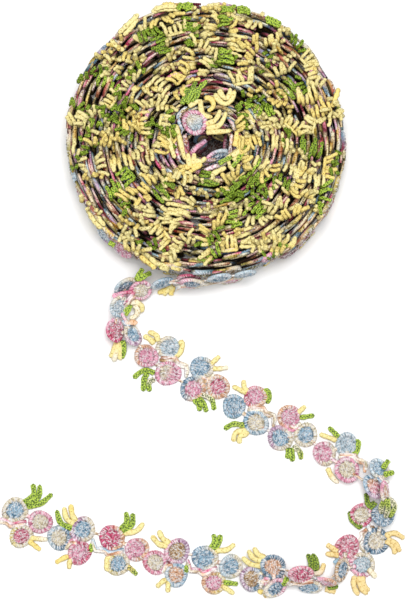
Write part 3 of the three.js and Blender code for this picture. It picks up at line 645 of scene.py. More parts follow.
def ring_cord(segments, sides):
    """A flower's rim: a cord closed on itself."""
    bm = bmesh.new()
    middle = FLOWER_RADIUS - RIM_WIDTH / 2
    section = Matrix.Translation((middle, 0, 0)) @ Matrix.Rotation(math.pi / 2, 4, "X")
    bmesh.ops.create_circle(bm, segments=sides, radius=1, matrix=section)
    to_middle = Matrix.Translation((-middle, 0, 0))
    bmesh.ops.scale(bm, verts=bm.verts[:], vec=(RIM_WIDTH / 2, 1, RIM_HEIGHT / 2), space=to_middle)
    bmesh.ops.spin(
        bm, geom=bm.edges[:], cent=(0, 0, 0), axis=(0, 0, 1), angle=2 * math.pi,
        steps=segments, use_merge=True, use_duplicate=False,
    )
    return Form(bm)


def worked_disc(segments, rings):
    """The worked ground inside a flower's rim, a little domed."""
    bm = bmesh.new()
    bmesh.ops.create_uvsphere(bm, u_segments=segments, v_segments=rings, radius=1)
    bmesh.ops.scale(bm, verts=bm.verts[:], vec=(EYE_RADIUS, EYE_RADIUS, EYE_THICKNESS))
    return Form(bm)


def add_object(name, data):
    obj = bpy.data.objects.new(name, data)
    bpy.context.scene.collection.objects.link(obj)
    return obj


class Gathering:
    """Copies of small forms on their way to become one piece."""

    def __init__(self):
        self.points, self.triangles, self.colours, self.places, self.count = [], [], [], [], 0

    def add(self, form, points, colours, places):
        """points are where the form's own points go, and places are their places in the stitching."""
        self.triangles.append(form.triangles + self.count)
        self.points.append(points)
        self.colours.append(np.broadcast_to(colours, points.shape))
        self.places.append(places)
        self.count += len(points)

    def add_bent(self, form, path, faces, width, thickness, colours):
        points, places = bend_rod(form, path, faces, width, thickness)
        self.add(form, rested(points), colours, places)

    def piece(self, name, finish, slot):
        mesh = bpy.data.meshes.new(name)
        mesh.from_pydata((np.concatenate(self.points) - MIDDLE) * MM, [], np.concatenate(self.triangles))
        colour = mesh.attributes.new("thread_colour", "FLOAT_COLOR", "POINT")
        rgba = np.ones((self.count, 4))
        rgba[:, :3] = np.concatenate(self.colours)
        colour.data.foreach_set("color", rgba.astype(np.float32).ravel())
        place = mesh.attributes.new("stitch_place", "FLOAT_VECTOR", "POINT")
        place.data.foreach_set("vector", np.concatenate(self.places).astype(np.float32).ravel())
        mesh.shade_smooth()
        mesh.materials.append(finish)
        obj = add_object(name, mesh)
        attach(obj, "root")
        return obj


def rested(points):
    """No thread goes below the surface that the ribbon lies on."""
    points[:, 2] = np.maximum(points[:, 2], LOWEST)
    return points


def smooth_path(points, count=20):
    """The path through the points as a smooth curve with evenly spaced places, and its length."""
    points = np.array(points, float)
    padded = np.vstack([2 * points[0] - points[1], points, 2 * points[-1] - points[-2]])
    curve = []
    for k in range(len(points) - 1):
        a, b, c, d = padded[k:k + 4]
        for t in np.linspace(0, 1, 9)[:-1]:
            curve.append(0.5 * (2 * b + (c - a) * t + (2 * a - 5 * b + 4 * c - d) * t ** 2
                                + (3 * b - a - 3 * c + d) * t ** 3))
    curve = np.vstack(curve + [points[-1]])
    lengths = np.concatenate([[0], np.cumsum(np.linalg.norm(np.diff(curve, axis=0), axis=1))])
    return follow(np.linspace(0, lengths[-1], count), lengths, curve), lengths[-1]


def follow(at, knots, values):
    """The values, each with three parts, at places between the knots."""
    return np.stack([np.interp(at, knots, values[:, axis]) for axis in range(3)], 1)


def bend_rod(form, path, faces, width, thickness, lump=1.0):
    """The rod's points bent along a path. Returns them and their places in the stitching."""
    curve, length = smooth_path(path)
    shares = np.linspace(0, 1, len(curve))
    face = follow(shares, np.linspace(0, 1, len(faces)), np.array(faces))
    way = unit(np.gradient(curve, axis=0))
    face = unit(face - (face * way).sum(1, keepdims=True) * way)
    at, across, out = form.points[:, 0], form.points[:, 1:2], form.points[:, 2:3]
    points = (follow(at, shares, curve) + follow(at, shares, np.cross(face, way)) * across * lump * width / 2
              + follow(at, shares, face) * out * thickness / 2)
    return points, form.points * (length, 1, 1)


# Finishes

class Field:
    """A value that changes over a surface. Arithmetic on it adds the nodes that work it out."""

    def __init__(self, finish, socket):
        self.finish, self.socket = finish, socket

    def maths(self, operation, *others):
        values = dict(enumerate((self, *others)))
        return self.finish.node("ShaderNodeMath", {"operation": operation}, values)

    def __add__(self, other):
        return self.maths("ADD", other)

    def __mul__(self, other):
        return self.maths("MULTIPLY", other)

    def __sub__(self, other):
        return self.maths("SUBTRACT", other)

    def __rsub__(self, other):
        return (self * -1.0) + other

    __radd__ = __add__
    __rmul__ = __mul__

    def limited(self):
        return self.maths("MINIMUM", 1.0).maths("MAXIMUM", 0.0)

    def from_nearest(self, pitch):
        """How far it is from the nearest of a row of places a pitch apart."""
        return ((self * (1 / pitch)).maths("FRACT") - 0.5) * pitch


class Finish:
    """A thread finish: a material whose nodes are added by calls."""

    def __init__(self, name):
        self.material = bpy.data.materials.new(name)
        self.material.use_nodes = True
        self.nodes = self.material.node_tree.nodes
        self.links = self.material.node_tree.links

    def put(self, socket, value):
        if isinstance(value, Field):
            self.links.new(value.socket, socket)
        else:
            socket.default_value = value

    def node(self, kind, settings=None, values=None, output=0):
        node = self.nodes.new(kind)
        for key, value in (settings or {}).items():
            setattr(node, key, value)
        for key, value in (values or {}).items():
            self.put(node.inputs[key], value)
        return Field(self, node.outputs[output])

    def attribute(self, name, output):
        return self.node("ShaderNodeAttribute", {"attribute_name": name}, output=output)

    def stitching(self, grain_scale):
        """The thread's colour, and (along, side, face, grain): millimetres along a thread's run, across
        it and out from -1 to 1, and a fine unevenness about 0.5."""
        split = self.node("ShaderNodeSeparateXYZ", {}, {0: self.attribute("stitch_place", "Vector")})
        spot = self.node("ShaderNodeTexCoord", output="Object")
        noise = {"Vector": spot, "Scale": grain_scale, "Detail": 1.0}
        grain = self.node("ShaderNodeTexNoise", {}, noise, "Fac")
        places = [Field(self, socket) for socket in split.socket.node.outputs]
        return self.attribute("thread_colour", "Color"), (*places, grain)

    def finished(self, values):
        """The material, once the shader's sockets have their values."""
        for name, value in values.items():
            self.put(self.nodes["Principled BSDF"].inputs[name], value)
        return self.material

    def thread_work(self, colour, deep, tint, height, gloss, sheen):
        """Thread of a colour that is multiplied by the tint as far as deep says: a painted shade."""
        settings = {"data_type": "RGBA", "blend_type": "MULTIPLY"}
        values = {MIX_FACTOR: deep.limited(), MIX_A: colour, MIX_B: tint}
        relief = {"Strength": RELIEF_STRENGTH, "Distance": RELIEF * MM, "Height": height}
        return self.finished({
            "Base Color": self.node("ShaderNodeMix", settings, values, MIX_COLOUR),
            "Normal": self.node("ShaderNodeBump", {}, relief),
            "Roughness": THREAD_ROUGHNESS,
            "Specular IOR Level": gloss,
            "Sheen Weight": sheen,
        })


def tip_shade(side, face, depth=1.0):
    """Painted shade at a leaf's end, where its stitches meet."""
    return (depth - (side * side + face * face) * TIP_HOLE_EDGE).limited()


def leaf_finish(name, tint, gloss):
    """Pale leaves: fine satin stitch, with a painted shade at the edges, in the pinholes, at the tip and
    where the stitching is low.
    """
    finish = Finish(name)
    colour, (along, side, face, grain) = finish.stitching(1000.0)
    to_hole = along.from_nearest(PINHOLE_PITCH)
    pinhole = (1.0 - (to_hole * to_hole + side * side) * (1 / PINHOLE_RADIUS ** 2)).limited()
    edge = side * side
    edge = (edge * 0.4 + edge * edge) * 0.8
    # deep is painted shade: in the pinholes, at the tip, towards the edges and where the grain of the bump
    # is low
    deep = pinhole * 0.9 + tip_shade(side, face) * 0.9 + edge + (0.44 - grain) * 2.4
    stitch = (along * (2 * math.pi / SATIN_PITCH) + side * 1.2).maths("SINE")
    return finish.thread_work(colour, deep, tint, stitch * 0.25 + grain * 0.5 - pinhole * 0.8, gloss, 0.05)


def bead_finish(name):
    """Green leaves: bright towards the edges, with two rows of pits along the middle, and a painted shade in
    the pits, at the tip, on the outermost sides and where the grain is low.
    """
    finish = Finish(name)
    colour, (along, side, face, grain) = finish.stitching(1500.0)
    row = (side.maths("ABSOLUTE") - PIT_ROW) * (LEAF_WIDTH / 2)
    step = (along + side.maths("SIGN") * (PIT_PITCH / 4)).from_nearest(PIT_PITCH)
    pit = (1.5 - (row * row + step * step).maths("SQRT") * (1 / PIT_RADIUS)).limited()
    edge = side * side
    # deep is painted shade: in the pits, at the tip, on the outermost sides and where the grain of the bump
    # is low
    deep = pit + tip_shade(side, face) + edge * edge * 0.5 + (0.52 - grain) * 3.2
    return finish.thread_work(colour, deep, GREEN_SHADE, grain * 0.6 - pit, 0.3, 0.05)


def ring_finish(name):
    """Green leaves over the turns: chains of bright rings, with a painted shade in their holes, where two
    rings meet, on the outermost sides, at the tip and where the grain is low.
    """
    finish = Finish(name)
    colour, (along, side, face, grain) = finish.stitching(1500.0)
    to_hole = along.from_nearest(PINHOLE_PITCH) * 0.7
    hole = (1.7 - (to_hole * to_hole + side * side).maths("SQRT") * (1 / RING_HOLE_RADIUS)).limited()
    to_joint = (along + PINHOLE_PITCH / 2).from_nearest(PINHOLE_PITCH).maths("ABSOLUTE")
    joint = (1.0 - to_joint * 3.0).limited()
    edge = side * side
    # deep is painted shade: in the ring holes, where two rings meet, on the outermost sides, at the tip and
    # where the grain of the bump is low
    deep = hole + joint * 0.7 + edge * edge * 0.8 + tip_shade(side, face, 1.3) + (0.5 - grain) * 3.0
    return finish.thread_work(colour, deep, GREEN_SHADE, grain * 0.5 - hole, 0.15, 0)


def cord_finish(name, groove_shade, depth, pitch, gloss):
    """Flower thread: a twisted cord, with a painted shade in its grooves and where its grain is low."""
    finish = Finish(name)
    colour, (along, side, _, grain) = finish.stitching(1300.0)
    ridge = (along * (2 * math.pi / pitch) + side * 1.6).maths("SINE")
    # deep is painted shade, darkest where the ridges and the grain of the bump are low
    deep = (0.3 - ridge * 0.5) * depth + (0.46 - grain) * (9.0 * depth)
    return finish.thread_work(colour, deep, groove_shade, ridge * 0.5 + grain * 0.6, gloss, gloss / 3)


# Flowers and leaves

def ring_places(points):
    """Places in the stitching round a flower, from its low edge."""
    turn = np.arctan2(points[:, 0], -points[:, 1])
    return np.stack([turn * FLOWER_RADIUS, points[:, 2], np.zeros(len(points))], 1)


class FineFlowers:
    """Flowers close to the eye: a worked ground in a cord, and every stitch that lies over them."""

    def __init__(self, rng):
        self.rng = rng
        self.core, self.disc = ring_cord(24, 5), worked_disc(16, 4)
        self.stitch = rod([(0, 0.6), (0.5, 1.0), (1, 0.6)], 4)
        self.lace, self.stitches = Gathering(), Gathering()

    def add(self, to_place, radius, rim, middle, light=1.0):
        """to_place turns places in the flower into places in the world; light is the painted shade, the
        share of light left.
        """
        start_2, start_3 = self.rng.uniform(0, 2 * math.pi, 2)

        def shaped(points):
            turn = np.arctan2(points[:, 1:2], points[:, 0:1])
            grown = 1 + LUMPS[0] * np.cos(2 * turn + start_2) + LUMPS[1] * np.cos(3 * turn + start_3)
            grown = radius / FLOWER_RADIUS * grown
            return to_place(points * np.hstack([grown, grown, np.ones_like(grown)]))

        # The cord and the ground lie under the stitches and get a painted shade: 0.9 and 0.85 of their
        # threads' colours
        for form, name, depth in ((self.core, rim, 0.9), (self.disc, middle, 0.85)):
            share = 0.5 + form.points[:, 0] / FLOWER_RADIUS / 2
            colours = toned(thread(name, share) * depth, 0.3, self.rng)
            self.lace.add(form, shaped(form.points), colours * light, ring_places(form.points))
        self.work_rim(shaped, rim, light)
        self.work_middle(shaped, middle, light)

    def lay(self, shaped, start, end, width, lift, colours):
        """One stitch that rises by lift on its way from start to end, with its three colours along it."""
        start, end = np.array(start), np.array(end)
        side = unit(np.cross(UP, unit(end - start)))
        along, across, out = (self.stitch.points[:, axis:axis + 1] for axis in range(3))
        points = (start + (end - start) * along + side * across * width / 2
                  + UP * (out * width / 2 + 4 * lift * along * (1 - along)))
        colours = colours[np.round(along[:, 0] * 2).astype(int)]
        self.stitches.add(self.stitch, shaped(points), colours, self.stitch.points * (2.0, 1, 1))

    def stitch_colours(self, name, share, light):
        """Three colours for each stitch: at its start, in its middle and at its end, with painted highlights
        and shade.
        """
        colours = np.repeat(thread(name, share), 3, axis=0)
        return shaded(colours, self.rng).reshape(-1, 3, 3) * light

    def work_rim(self, shaped, name, light):
        turns = np.arange(RIM_STITCHES) * 2 * math.pi / RIM_STITCHES
        turns = turns + self.rng.uniform(-0.04, 0.04, RIM_STITCHES)
        for turn, colours in zip(turns, self.stitch_colours(name, 0.5 + 0.5 * np.cos(turns), light)):
            inner = EYE_RADIUS - 0.35 + self.rng.uniform(-0.15, 0.15)
            outer = FLOWER_RADIUS + self.rng.uniform(-0.1, 0.16)
            far = turn + RIM_STITCH_LEAN
            self.lay(
                shaped, (inner * math.cos(turn), inner * math.sin(turn), RIM_STITCH_HEIGHTS[0]),
                (outer * math.cos(far), outer * math.sin(far), RIM_STITCH_HEIGHTS[1]),
                RIM_STITCH_WIDTH, RIM_STITCH_RISE, colours,
            )

    def middle_stitches(self):
        """Rows of stitches and some that cross them: turn, place off the middle, start, end and height."""
        grain = self.rng.uniform(0, math.pi)
        for off in np.arange(-EYE_RADIUS + 0.3, EYE_RADIUS - 0.2, EYE_ROW_GAP):
            half = math.sqrt(EYE_RADIUS ** 2 - off ** 2)
            at = -half - self.rng.uniform(0, EYE_STITCH_LENGTHS[0])
            while at < half - 0.4:
                end = at + self.rng.uniform(*EYE_STITCH_LENGTHS)
                if min(end, half) - max(at, -half) > 0.5:
                    yield grain + self.rng.normal(0, 0.2), off, max(at, -half), min(end, half), 0
                at = end
        for _ in range(CROSSING_STITCHES):
            off, at = self.rng.uniform(-2.3, 2.3, 2)
            turn = grain + self.rng.choice([-1, 1]) * self.rng.uniform(0.5, 1.1)
            yield turn, off, at - 0.8, min(at + 0.8, 2.6), 0.25

    def work_middle(self, shaped, name, light):
        stitches = list(self.middle_stitches())
        share = [0.5 + 0.5 * (at * math.cos(turn) - off * math.sin(turn)) / EYE_RADIUS
                 for turn, off, at, _, _ in stitches]
        all_colours = self.stitch_colours(name, share, light)
        for (turn, off, at, end, over), colours in zip(stitches, all_colours):
            way = np.array([math.cos(turn), math.sin(turn), 0])
            side = np.array([-way[1], way[0], 0])
            low = EYE_THICKNESS * (1 - 0.45 * (off / EYE_RADIUS) ** 2) - 0.1 + over
            low += self.rng.uniform(-0.06, 0.1)
            start, end = (side * off + way * x + UP * (low - EYE_DROP * (x / EYE_RADIUS) ** 2)
                          for x in (at, end))
            self.lay(shaped, start, end, EYE_STITCH_WIDTH, EYE_STITCH_RISE, colours)


class Leaves:
    """Leaves on their way to become two pieces, the pale ones and the green ones."""

    def __init__(self, form, rng, knobs=None):
        """With a number of knobs the stitching keeps step with them."""
        self.form, self.rng, self.knobs = form, rng, knobs
        self.pale, self.green = Gathering(), Gathering()

    def add(self, path, name, faces=(UP, UP), width=LEAF_WIDTH, thickness=LEAF_THICKNESS, sunk=False):
        """A sunk leaf is in shade at its root, where it comes up between the turns."""
        turns, phase = self.rng.uniform(1.2, 2.6), self.rng.uniform(0, 2 * math.pi)
        lump = 1 + LEAF_LUMPS * np.sin(phase + 2 * math.pi * turns * self.form.points[:, 0:1])
        points, places = bend_rod(self.form, path, faces, width, thickness, lump)
        if self.knobs:
            places = self.form.points * (self.knobs * PINHOLE_PITCH, 1, 1)
        else:
            places = places + (self.rng.uniform(0, PINHOLE_PITCH), 0, 0)
        colours = toned(thread(name, self.form.points[:, 0]), 0.16, self.rng)
        if sunk:
            colours = colours * shade_at(np.clip(self.form.points[:, 0] * 2.2 + 0.3, 0, 1))
        gathering = self.green if any(part in GREENS for part in name.split("-")) else self.pale
        gathering.add(self.form, rested(points), colours, places)

    def pieces(self, name, finishes):
        pale, green = ("wound_leaf", "ring") if self.knobs else ("leaf", "bead")
        return [self.pale.piece(name, finishes[pale], "leaf_thread"),
                self.green.piece(name + "_green", finishes[green], "leaf_thread")]


# The loose end

def frame_from(origin, heading, tilt):
    """(origin, along, across, face) of a ribbon that runs at heading and leans by tilt, in degrees."""
    heading, tilt = math.radians(heading), math.radians(tilt)
    along = np.array([math.cos(heading), math.sin(heading), 0])
    across = np.array([-along[1], along[0], 0]) * math.cos(tilt) - UP * math.sin(tilt)
    return np.array(origin, float), along, across, np.cross(along, across)


def point_in(place, along, across, out):
    origin, a, b, c = place
    return origin + np.multiply.outer(along, a) + np.multiply.outer(across, b) + np.multiply.outer(out, c)


def worked_on(place):
    """Turns places in a flower into places in the world, for a flower that lies flat in the frame."""
    return lambda points: rested(point_in(place, *points.T))


def loose_frame(station):
    """The loose end's middle line at a station counted in clusters, and straight on past its ends."""
    last = len(LOOSE_CLUSTERS) - 1
    near = min(max(station, 0), last)
    index = min(int(near), last - 1)
    t = near - index
    rows = np.array([row[:4] for row in LOOSE_CLUSTERS[index:index + 2]], float)
    (p, q), ways = rows[:, :2], np.radians(rows[:, 2])
    u, v = CLUSTER_PITCH * np.stack([np.cos(ways), np.sin(ways)], 1)
    spot = ((2 * t ** 3 - 3 * t ** 2 + 1) * p + (t ** 3 - 2 * t ** 2 + t) * u
            + (3 * t ** 2 - 2 * t ** 3) * q + (t ** 3 - t ** 2) * v)
    slope = (6 * t ** 2 - 6 * t) * (p - q) + (3 * t ** 2 - 4 * t + 1) * u + (3 * t ** 2 - 2 * t) * v
    spot = spot + unit(slope) * (station - near) * CLUSTER_PITCH
    tilt = between(*rows[:, 3], t * t * (3 - 2 * t))
    # A ribbon that leans over stands on its lower edge, so its middle line rises
    height = LACE_THICKNESS / 2 + LOW_EDGE * abs(math.sin(math.radians(tilt)))
    return frame_from((*spot, height), math.degrees(math.atan2(slope[1], slope[0])), tilt)


def loose_frame_at(cluster, along, across):
    place = loose_frame(cluster + along / CLUSTER_PITCH)
    return (point_in(place, 0, across, 0), *place[1:])


def flower_frame(cluster, number):
    if (cluster, number) in CRUMPLED_FLOWERS:
        *spot, heading, tilt = CRUMPLED_FLOWERS[cluster, number]
        return frame_from(spot, heading, tilt)
    along, across, _ = LAYOUTS[cluster % 2]["flowers"][number]
    return loose_frame_at(cluster, along, across)


def face_up(place):
    """The same flower turned over where its worked face would look down."""
    origin, along, across, face = place
    return (origin, along, -across, -face) if face[2] < -0.2 else place


def ribbon_leaf(cluster, number, places):
    """The path of a leaf of the loose end and the ways its face looks."""
    along, across, radius = LAYOUTS[cluster % 2]["flowers"][number]
    away = np.array(places[0]) - (along, across)
    root = (along, across) + away / np.linalg.norm(away) * radius * LEAF_ROOT
    frames = [loose_frame_at(cluster, a, b) for a, b in (tuple(root), *places)]
    return [f[0] + f[3] * lift for f, lift in zip(frames, RIBBON_LEAF_LIFTS)], [f[3] for f in frames]


def ties(cluster):
    """What joins the flowers of a cluster to each other and to the next: paths, faces, widths, threads."""
    layout = LAYOUTS[cluster % 2]
    joins = []
    for a, b in LINKS:
        name = LINK_THREADS[(3 * cluster + a + b) % len(LINK_THREADS)]
        joins.append(((cluster, a), (cluster, b), LINK_WIDTH, name))
    if cluster + 1 < len(LOOSE_CLUSTERS):
        joins.append(((cluster, 2), (cluster + 1, layout["next"]), BAR_WIDTH, "peach-cream"))
    for start, finish, width, name in joins:
        start, finish = flower_frame(*start), flower_frame(*finish)
        inset = unit(finish[0] - start[0]) * FLOWER_RADIUS * 0.6
        yield [start[0] + inset, finish[0] - inset], [start[3], finish[3]], width, name
    for shift, name in ((-0.6, LOOSE_CLUSTERS[cluster][6]), (0.6, "peach-cream")):
        ruffle = [loose_frame_at(cluster, a, b + shift + (-0.4 if number % 2 else 0.4))
                  for number, (a, b) in enumerate(layout["ruffle"])]
        yield [f[0] + f[3] * (0.5 + shift * 0.2) for f in ruffle], [f[3] for f in ruffle], RUFFLE_WIDTH, name


def loose_end(finishes):
    rng = np.random.default_rng(SEED + 1)
    flowers = FineFlowers(rng)
    leaves = Leaves(knobbly_rod(knobs=8, depth=0.1, taper=0.2, sides=8), rng)
    bar = rod([(0, 0.8), (0.12, 1.0), (0.25, 0.84), (0.38, 1.0), (0.5, 0.84), (0.62, 1.0), (0.75, 0.84),
               (0.88, 1.0), (1, 0.7)], 6)
    for cluster, row in enumerate(LOOSE_CLUSTERS):
        rims, middles = (names.split() for names in row[4:6])
        for number, (_, _, radius) in enumerate(LAYOUTS[cluster % 2]["flowers"]):
            place = face_up(flower_frame(cluster, number))
            flowers.add(worked_on(place), radius, rims[number], middles[number])
        for path, faces, width, name in ties(cluster):
            colours = shaded(thread(name, bar.points[:, 0]), rng, BRIGHT_BARS)
            flowers.lace.add_bent(bar, path, faces, width, BAR_THICKNESS, colours)
    for (cluster, number), spray in RIBBON_LEAVES.items():
        for name, *places in spray:
            path, faces = ribbon_leaf(cluster, number, places)
            leaves.add(path, name, faces, LEAF_WIDTH if places[-1][1] < 0 else SHORT_LEAF_WIDTH)
    for name, *path in TABLE_LEAVES:
        leaves.add(path, name)
    lace = flowers.lace.piece("tail_lace", finishes["cord"], "flower_thread")
    stitches = flowers.stitches.piece("tail_stitches", finishes["stitch"], "flower_thread")
    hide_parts("loose_end")
    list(leaves.pieces("tail_leaves", finishes))


# The wound part

class Spiral:
    """The middle line of the wound ribbon by its length from the hole outwards."""

    def __init__(self, rng):
        share = np.linspace(0, 1, TURNS * TURN_PLACES + 1)
        angle = math.radians(EXIT_ANGLE) + 2 * math.pi * TURNS * (1 - share)
        bulge = BULGE * share ** 3 * np.maximum(np.cos(angle - math.radians(BULGE_ANGLE)), 0) ** 2
        half_length = between(HOLE["half_length"], ROLL["radius"], share) + bulge
        half_width = between(HOLE["half_width"], ROLL["radius"], share) + bulge
        self.x = between(HOLE["x"], ROLL["x"], share) + half_length * np.cos(angle)
        self.y = between(HOLE["y"], ROLL["y"], share) + half_width * np.sin(angle)
        steps = np.hypot(np.diff(self.x), np.diff(self.y))
        self.at = np.concatenate([[0], np.cumsum(steps)])
        self.heading = np.unwrap(np.arctan2(np.gradient(self.y), np.gradient(self.x)))
        self.length = self.at[-1]
        self.knots = np.arange(0, self.length + 2 * SWAY_PITCH, SWAY_PITCH)
        self.sways, self.lifts = rng.uniform(-1, 1, (2, len(self.knots)))

    def heading_at(self, at):
        return np.interp(at, self.at, self.heading)

    def face_at(self, at):
        return np.array([-math.sin(self.heading_at(at)), math.cos(self.heading_at(at)), 0])

    def nearest(self, x, y):
        """How far along the ribbon a place seen from above is."""
        return self.at[np.argmin(np.hypot(self.x - x, self.y - y))]

    def point_at(self, at, across, out):
        """Where a ribbon place is on the wound ribbon, which stands on its short-leaf edge."""
        heading = self.heading_at(at)
        height = ROLL_MIDLINE - across
        upper = np.clip(height / UPPER_EDGE, 0, 1.3)
        inner = np.clip(1 - at / INNER_LEAN_LENGTH, 0, 1) * np.clip(1 - upper, 0, 1)
        out = out + SWAY * upper * np.interp(at, self.knots, self.sways) - INNER_LEAN * inner
        x = np.interp(at, self.at, self.x) - out * np.sin(heading)
        y = np.interp(at, self.at, self.y) + out * np.cos(heading)
        z = np.maximum(height + LIFT * upper * np.interp(at, self.knots, self.lifts), LOWEST)
        return np.stack([x, y, z], -1)


class LeafBed:
    """How high the leaves already lie over the turns, so that the next one lies on them."""

    def __init__(self):
        self.low = np.array([ROLL["x"] - BED_REACH, ROLL["y"] - BED_REACH])
        self.height = np.full((int(2 * BED_REACH / BED_CELL),) * 2, LEAF_BED - LEAF_THICKNESS / 2)

    def cells(self, points):
        return tuple(((points[:, :2] - self.low) / BED_CELL).astype(int).T)

    def beneath(self, points):
        return self.height[self.cells(points)]

    def press(self, points, top):
        """Raises the bed to top round the points, over the width of a leaf."""
        for dx in (-1, 0, 1):
            for dy in (-1, 0, 1):
                cells = self.cells(points + np.array([dx, dy, 0]) * LEAF_WIDTH * 0.33)
                self.height[cells] = np.maximum(self.height[cells], top)


def flopped_path(spot, way, length, curl, wave):
    """A leaf's path over the turns, seen from above."""
    reach = np.linspace(0, 1, 9)
    turn = way + curl * (reach - 0.3) + LEAF_WAVE * np.sin(wave + reach * length)
    step = length / (len(reach) - 1)
    x = spot[0] + np.concatenate([[0], np.cumsum(np.cos(turn[1:]) * step)])
    y = spot[1] + np.concatenate([[0], np.cumsum(np.sin(turn[1:]) * step)])
    return np.stack([x, y, np.zeros(len(x))], 1)


def is_clear(track):
    """Whether a leaf's way keeps inside the roll's side, and its middle off the bare turns."""
    widest = np.hypot(track[:, 0] - ROLL["x"], track[:, 1] - ROLL["y"]).max()
    middle_x, middle_y, _ = track[len(track) // 2]
    bare = any(math.hypot(middle_x - x, middle_y - y) < reach for x, y, reach in BARE_PATCHES)
    return widest < ROLL["radius"] + OVERHANG and not bare


def spray_tracks(spiral, habit, count, near, rng):
    """One way for a spray to lie, from a place along the ribbon: its leaves' paths, its side and root."""
    root = spiral.point_at(near, SPRAY_ROOT, 0.0)
    way = float(spiral.heading_at(near)) + math.radians(rng.uniform(*habit["way"]))
    way += rng.choice([0, math.pi])
    curl = rng.uniform(-1, 1) * habit["curl"]
    side = np.array([-math.sin(way), math.cos(way), 0])
    ahead = np.array([math.cos(way), math.sin(way), 0])
    tracks = []
    for place in np.arange(count) - (count - 1) / 2:
        foot = root + side * place * habit["gap"] + ahead * rng.uniform(-1, 1) * habit["scatter"]
        turn = habit["spread"] * place + habit["stray"] * rng.uniform(-1, 1)
        tracks.append(flopped_path(foot, way + math.radians(turn), rng.uniform(*habit["length"]),
                                   math.radians(curl + rng.uniform(-16, 16)), rng.uniform(0, 6)))
    return tracks, side, root


def lay_spray(spiral, bed, leaves, spray, rng):
    """The leaves of a cluster come up out of their turn and lie down over the turns beside it."""
    at, wander, names = spray
    kind = rng.choice(list(HABITS), p=[habit["share"] for habit in HABITS.values()])
    habit = HABITS[kind]
    count = rng.integers(habit["leaves"][0], habit["leaves"][1] + 1)
    best = None
    for _ in range(TRIALS):
        trial = spray_tracks(spiral, habit, count, at + rng.uniform(-wander, wander), rng)
        crowding = np.mean([bed.beneath(track).mean() for track in trial[0]])
        if all(is_clear(track) for track in trial[0]) and (best is None or crowding < best[0]):
            best = (crowding, *trial)
    if best is None:
        return
    _, tracks, side, root = best
    name = rng.choice(names)
    tops = []
    for track in tracks:
        rise = rng.uniform(*habit["rise"])
        level = min(np.percentile(bed.beneath(track), 60) + LEAF_THICKNESS * 0.45, LEAF_CEILING)
        reach = np.linspace(0, 1, len(track))
        track[:, 2] = level + rise * reach ** 2 - ROOT_DIP * np.clip(1 - reach / 0.3, 0, 1) ** 1.5
        width = WOUND_LEAF_WIDTH * rng.uniform(0.9, 1.1) * (GREEN_NARROWER if name in GREENS else 1)
        leaves.add(track, name, width=width, thickness=LEAF_THICKNESS + 0.3, sunk=True)
        tops.append(level + rise * 0.3 + LEAF_THICKNESS * 0.4)
    for track, top in zip(tracks, tops):
        bed.press(track[1:], top)
    if kind == "comb":
        edge = side * habit["gap"] * count * 0.42
        foot = np.array([*root[:2], min(tops) - 1.2])
        leaves.add([foot - edge, foot, foot + edge], name, width=WOUND_LEAF_WIDTH * 0.8)


def lay_wound_bars(spiral, lace, bar, at, layout, rng):
    """What joins the flowers of a wound cluster to each other and to the next."""
    joins = [(layout["upper_bar"], *UPPER_BAR)]
    joins += [([layout["flowers"][a][:2], layout["flowers"][b][:2]], *WOUND_LINK) for a, b in LINKS]
    for _ in range(EDGE_CORDS):
        start, length, edge = (rng.uniform(*limits) for limits in EDGE_CORD_LIMITS)
        arc = [(start, edge + 0.9), (start + length / 2, edge), (start + length, edge + 0.8)]
        joins.append((arc, rng.uniform(*EDGE_CORD_WIDTHS), EDGE_CORD_THICKNESS))
    face = spiral.face_at(at)
    for places, width, thickness in joins:
        out = rng.uniform(-0.8, 0.8)
        along, across = np.array(places).T
        path = spiral.point_at(at + along, across, out)
        points, stitched = bend_rod(bar, path, [face, face], width, thickness)
        colours = wound_colours(rng.choice(WOUND_RIMS), bar.points[:, 0], points, rng)
        lace.add(bar, points, colours, stitched)


def lay_low_leaves(spiral, leaves, at, layout, rng):
    """The two short leaves of a wound cluster, down at the edge that it stands on."""
    along, across, radius = layout["flowers"][layout["low_flower"]]
    face = spiral.face_at(at)
    for lean in LOW_LEAF_LEANS:
        stretch = along + lean * np.array([0.4, 1.0])
        depths = np.minimum([across + 1.0, across + radius + 1.0], LOW_EDGE)
        path = spiral.point_at(at + stretch, depths, LOW_LEAF_OUT)
        leaves.add(path, rng.choice(PALE_LEAVES), [face, face], thickness=1.0)


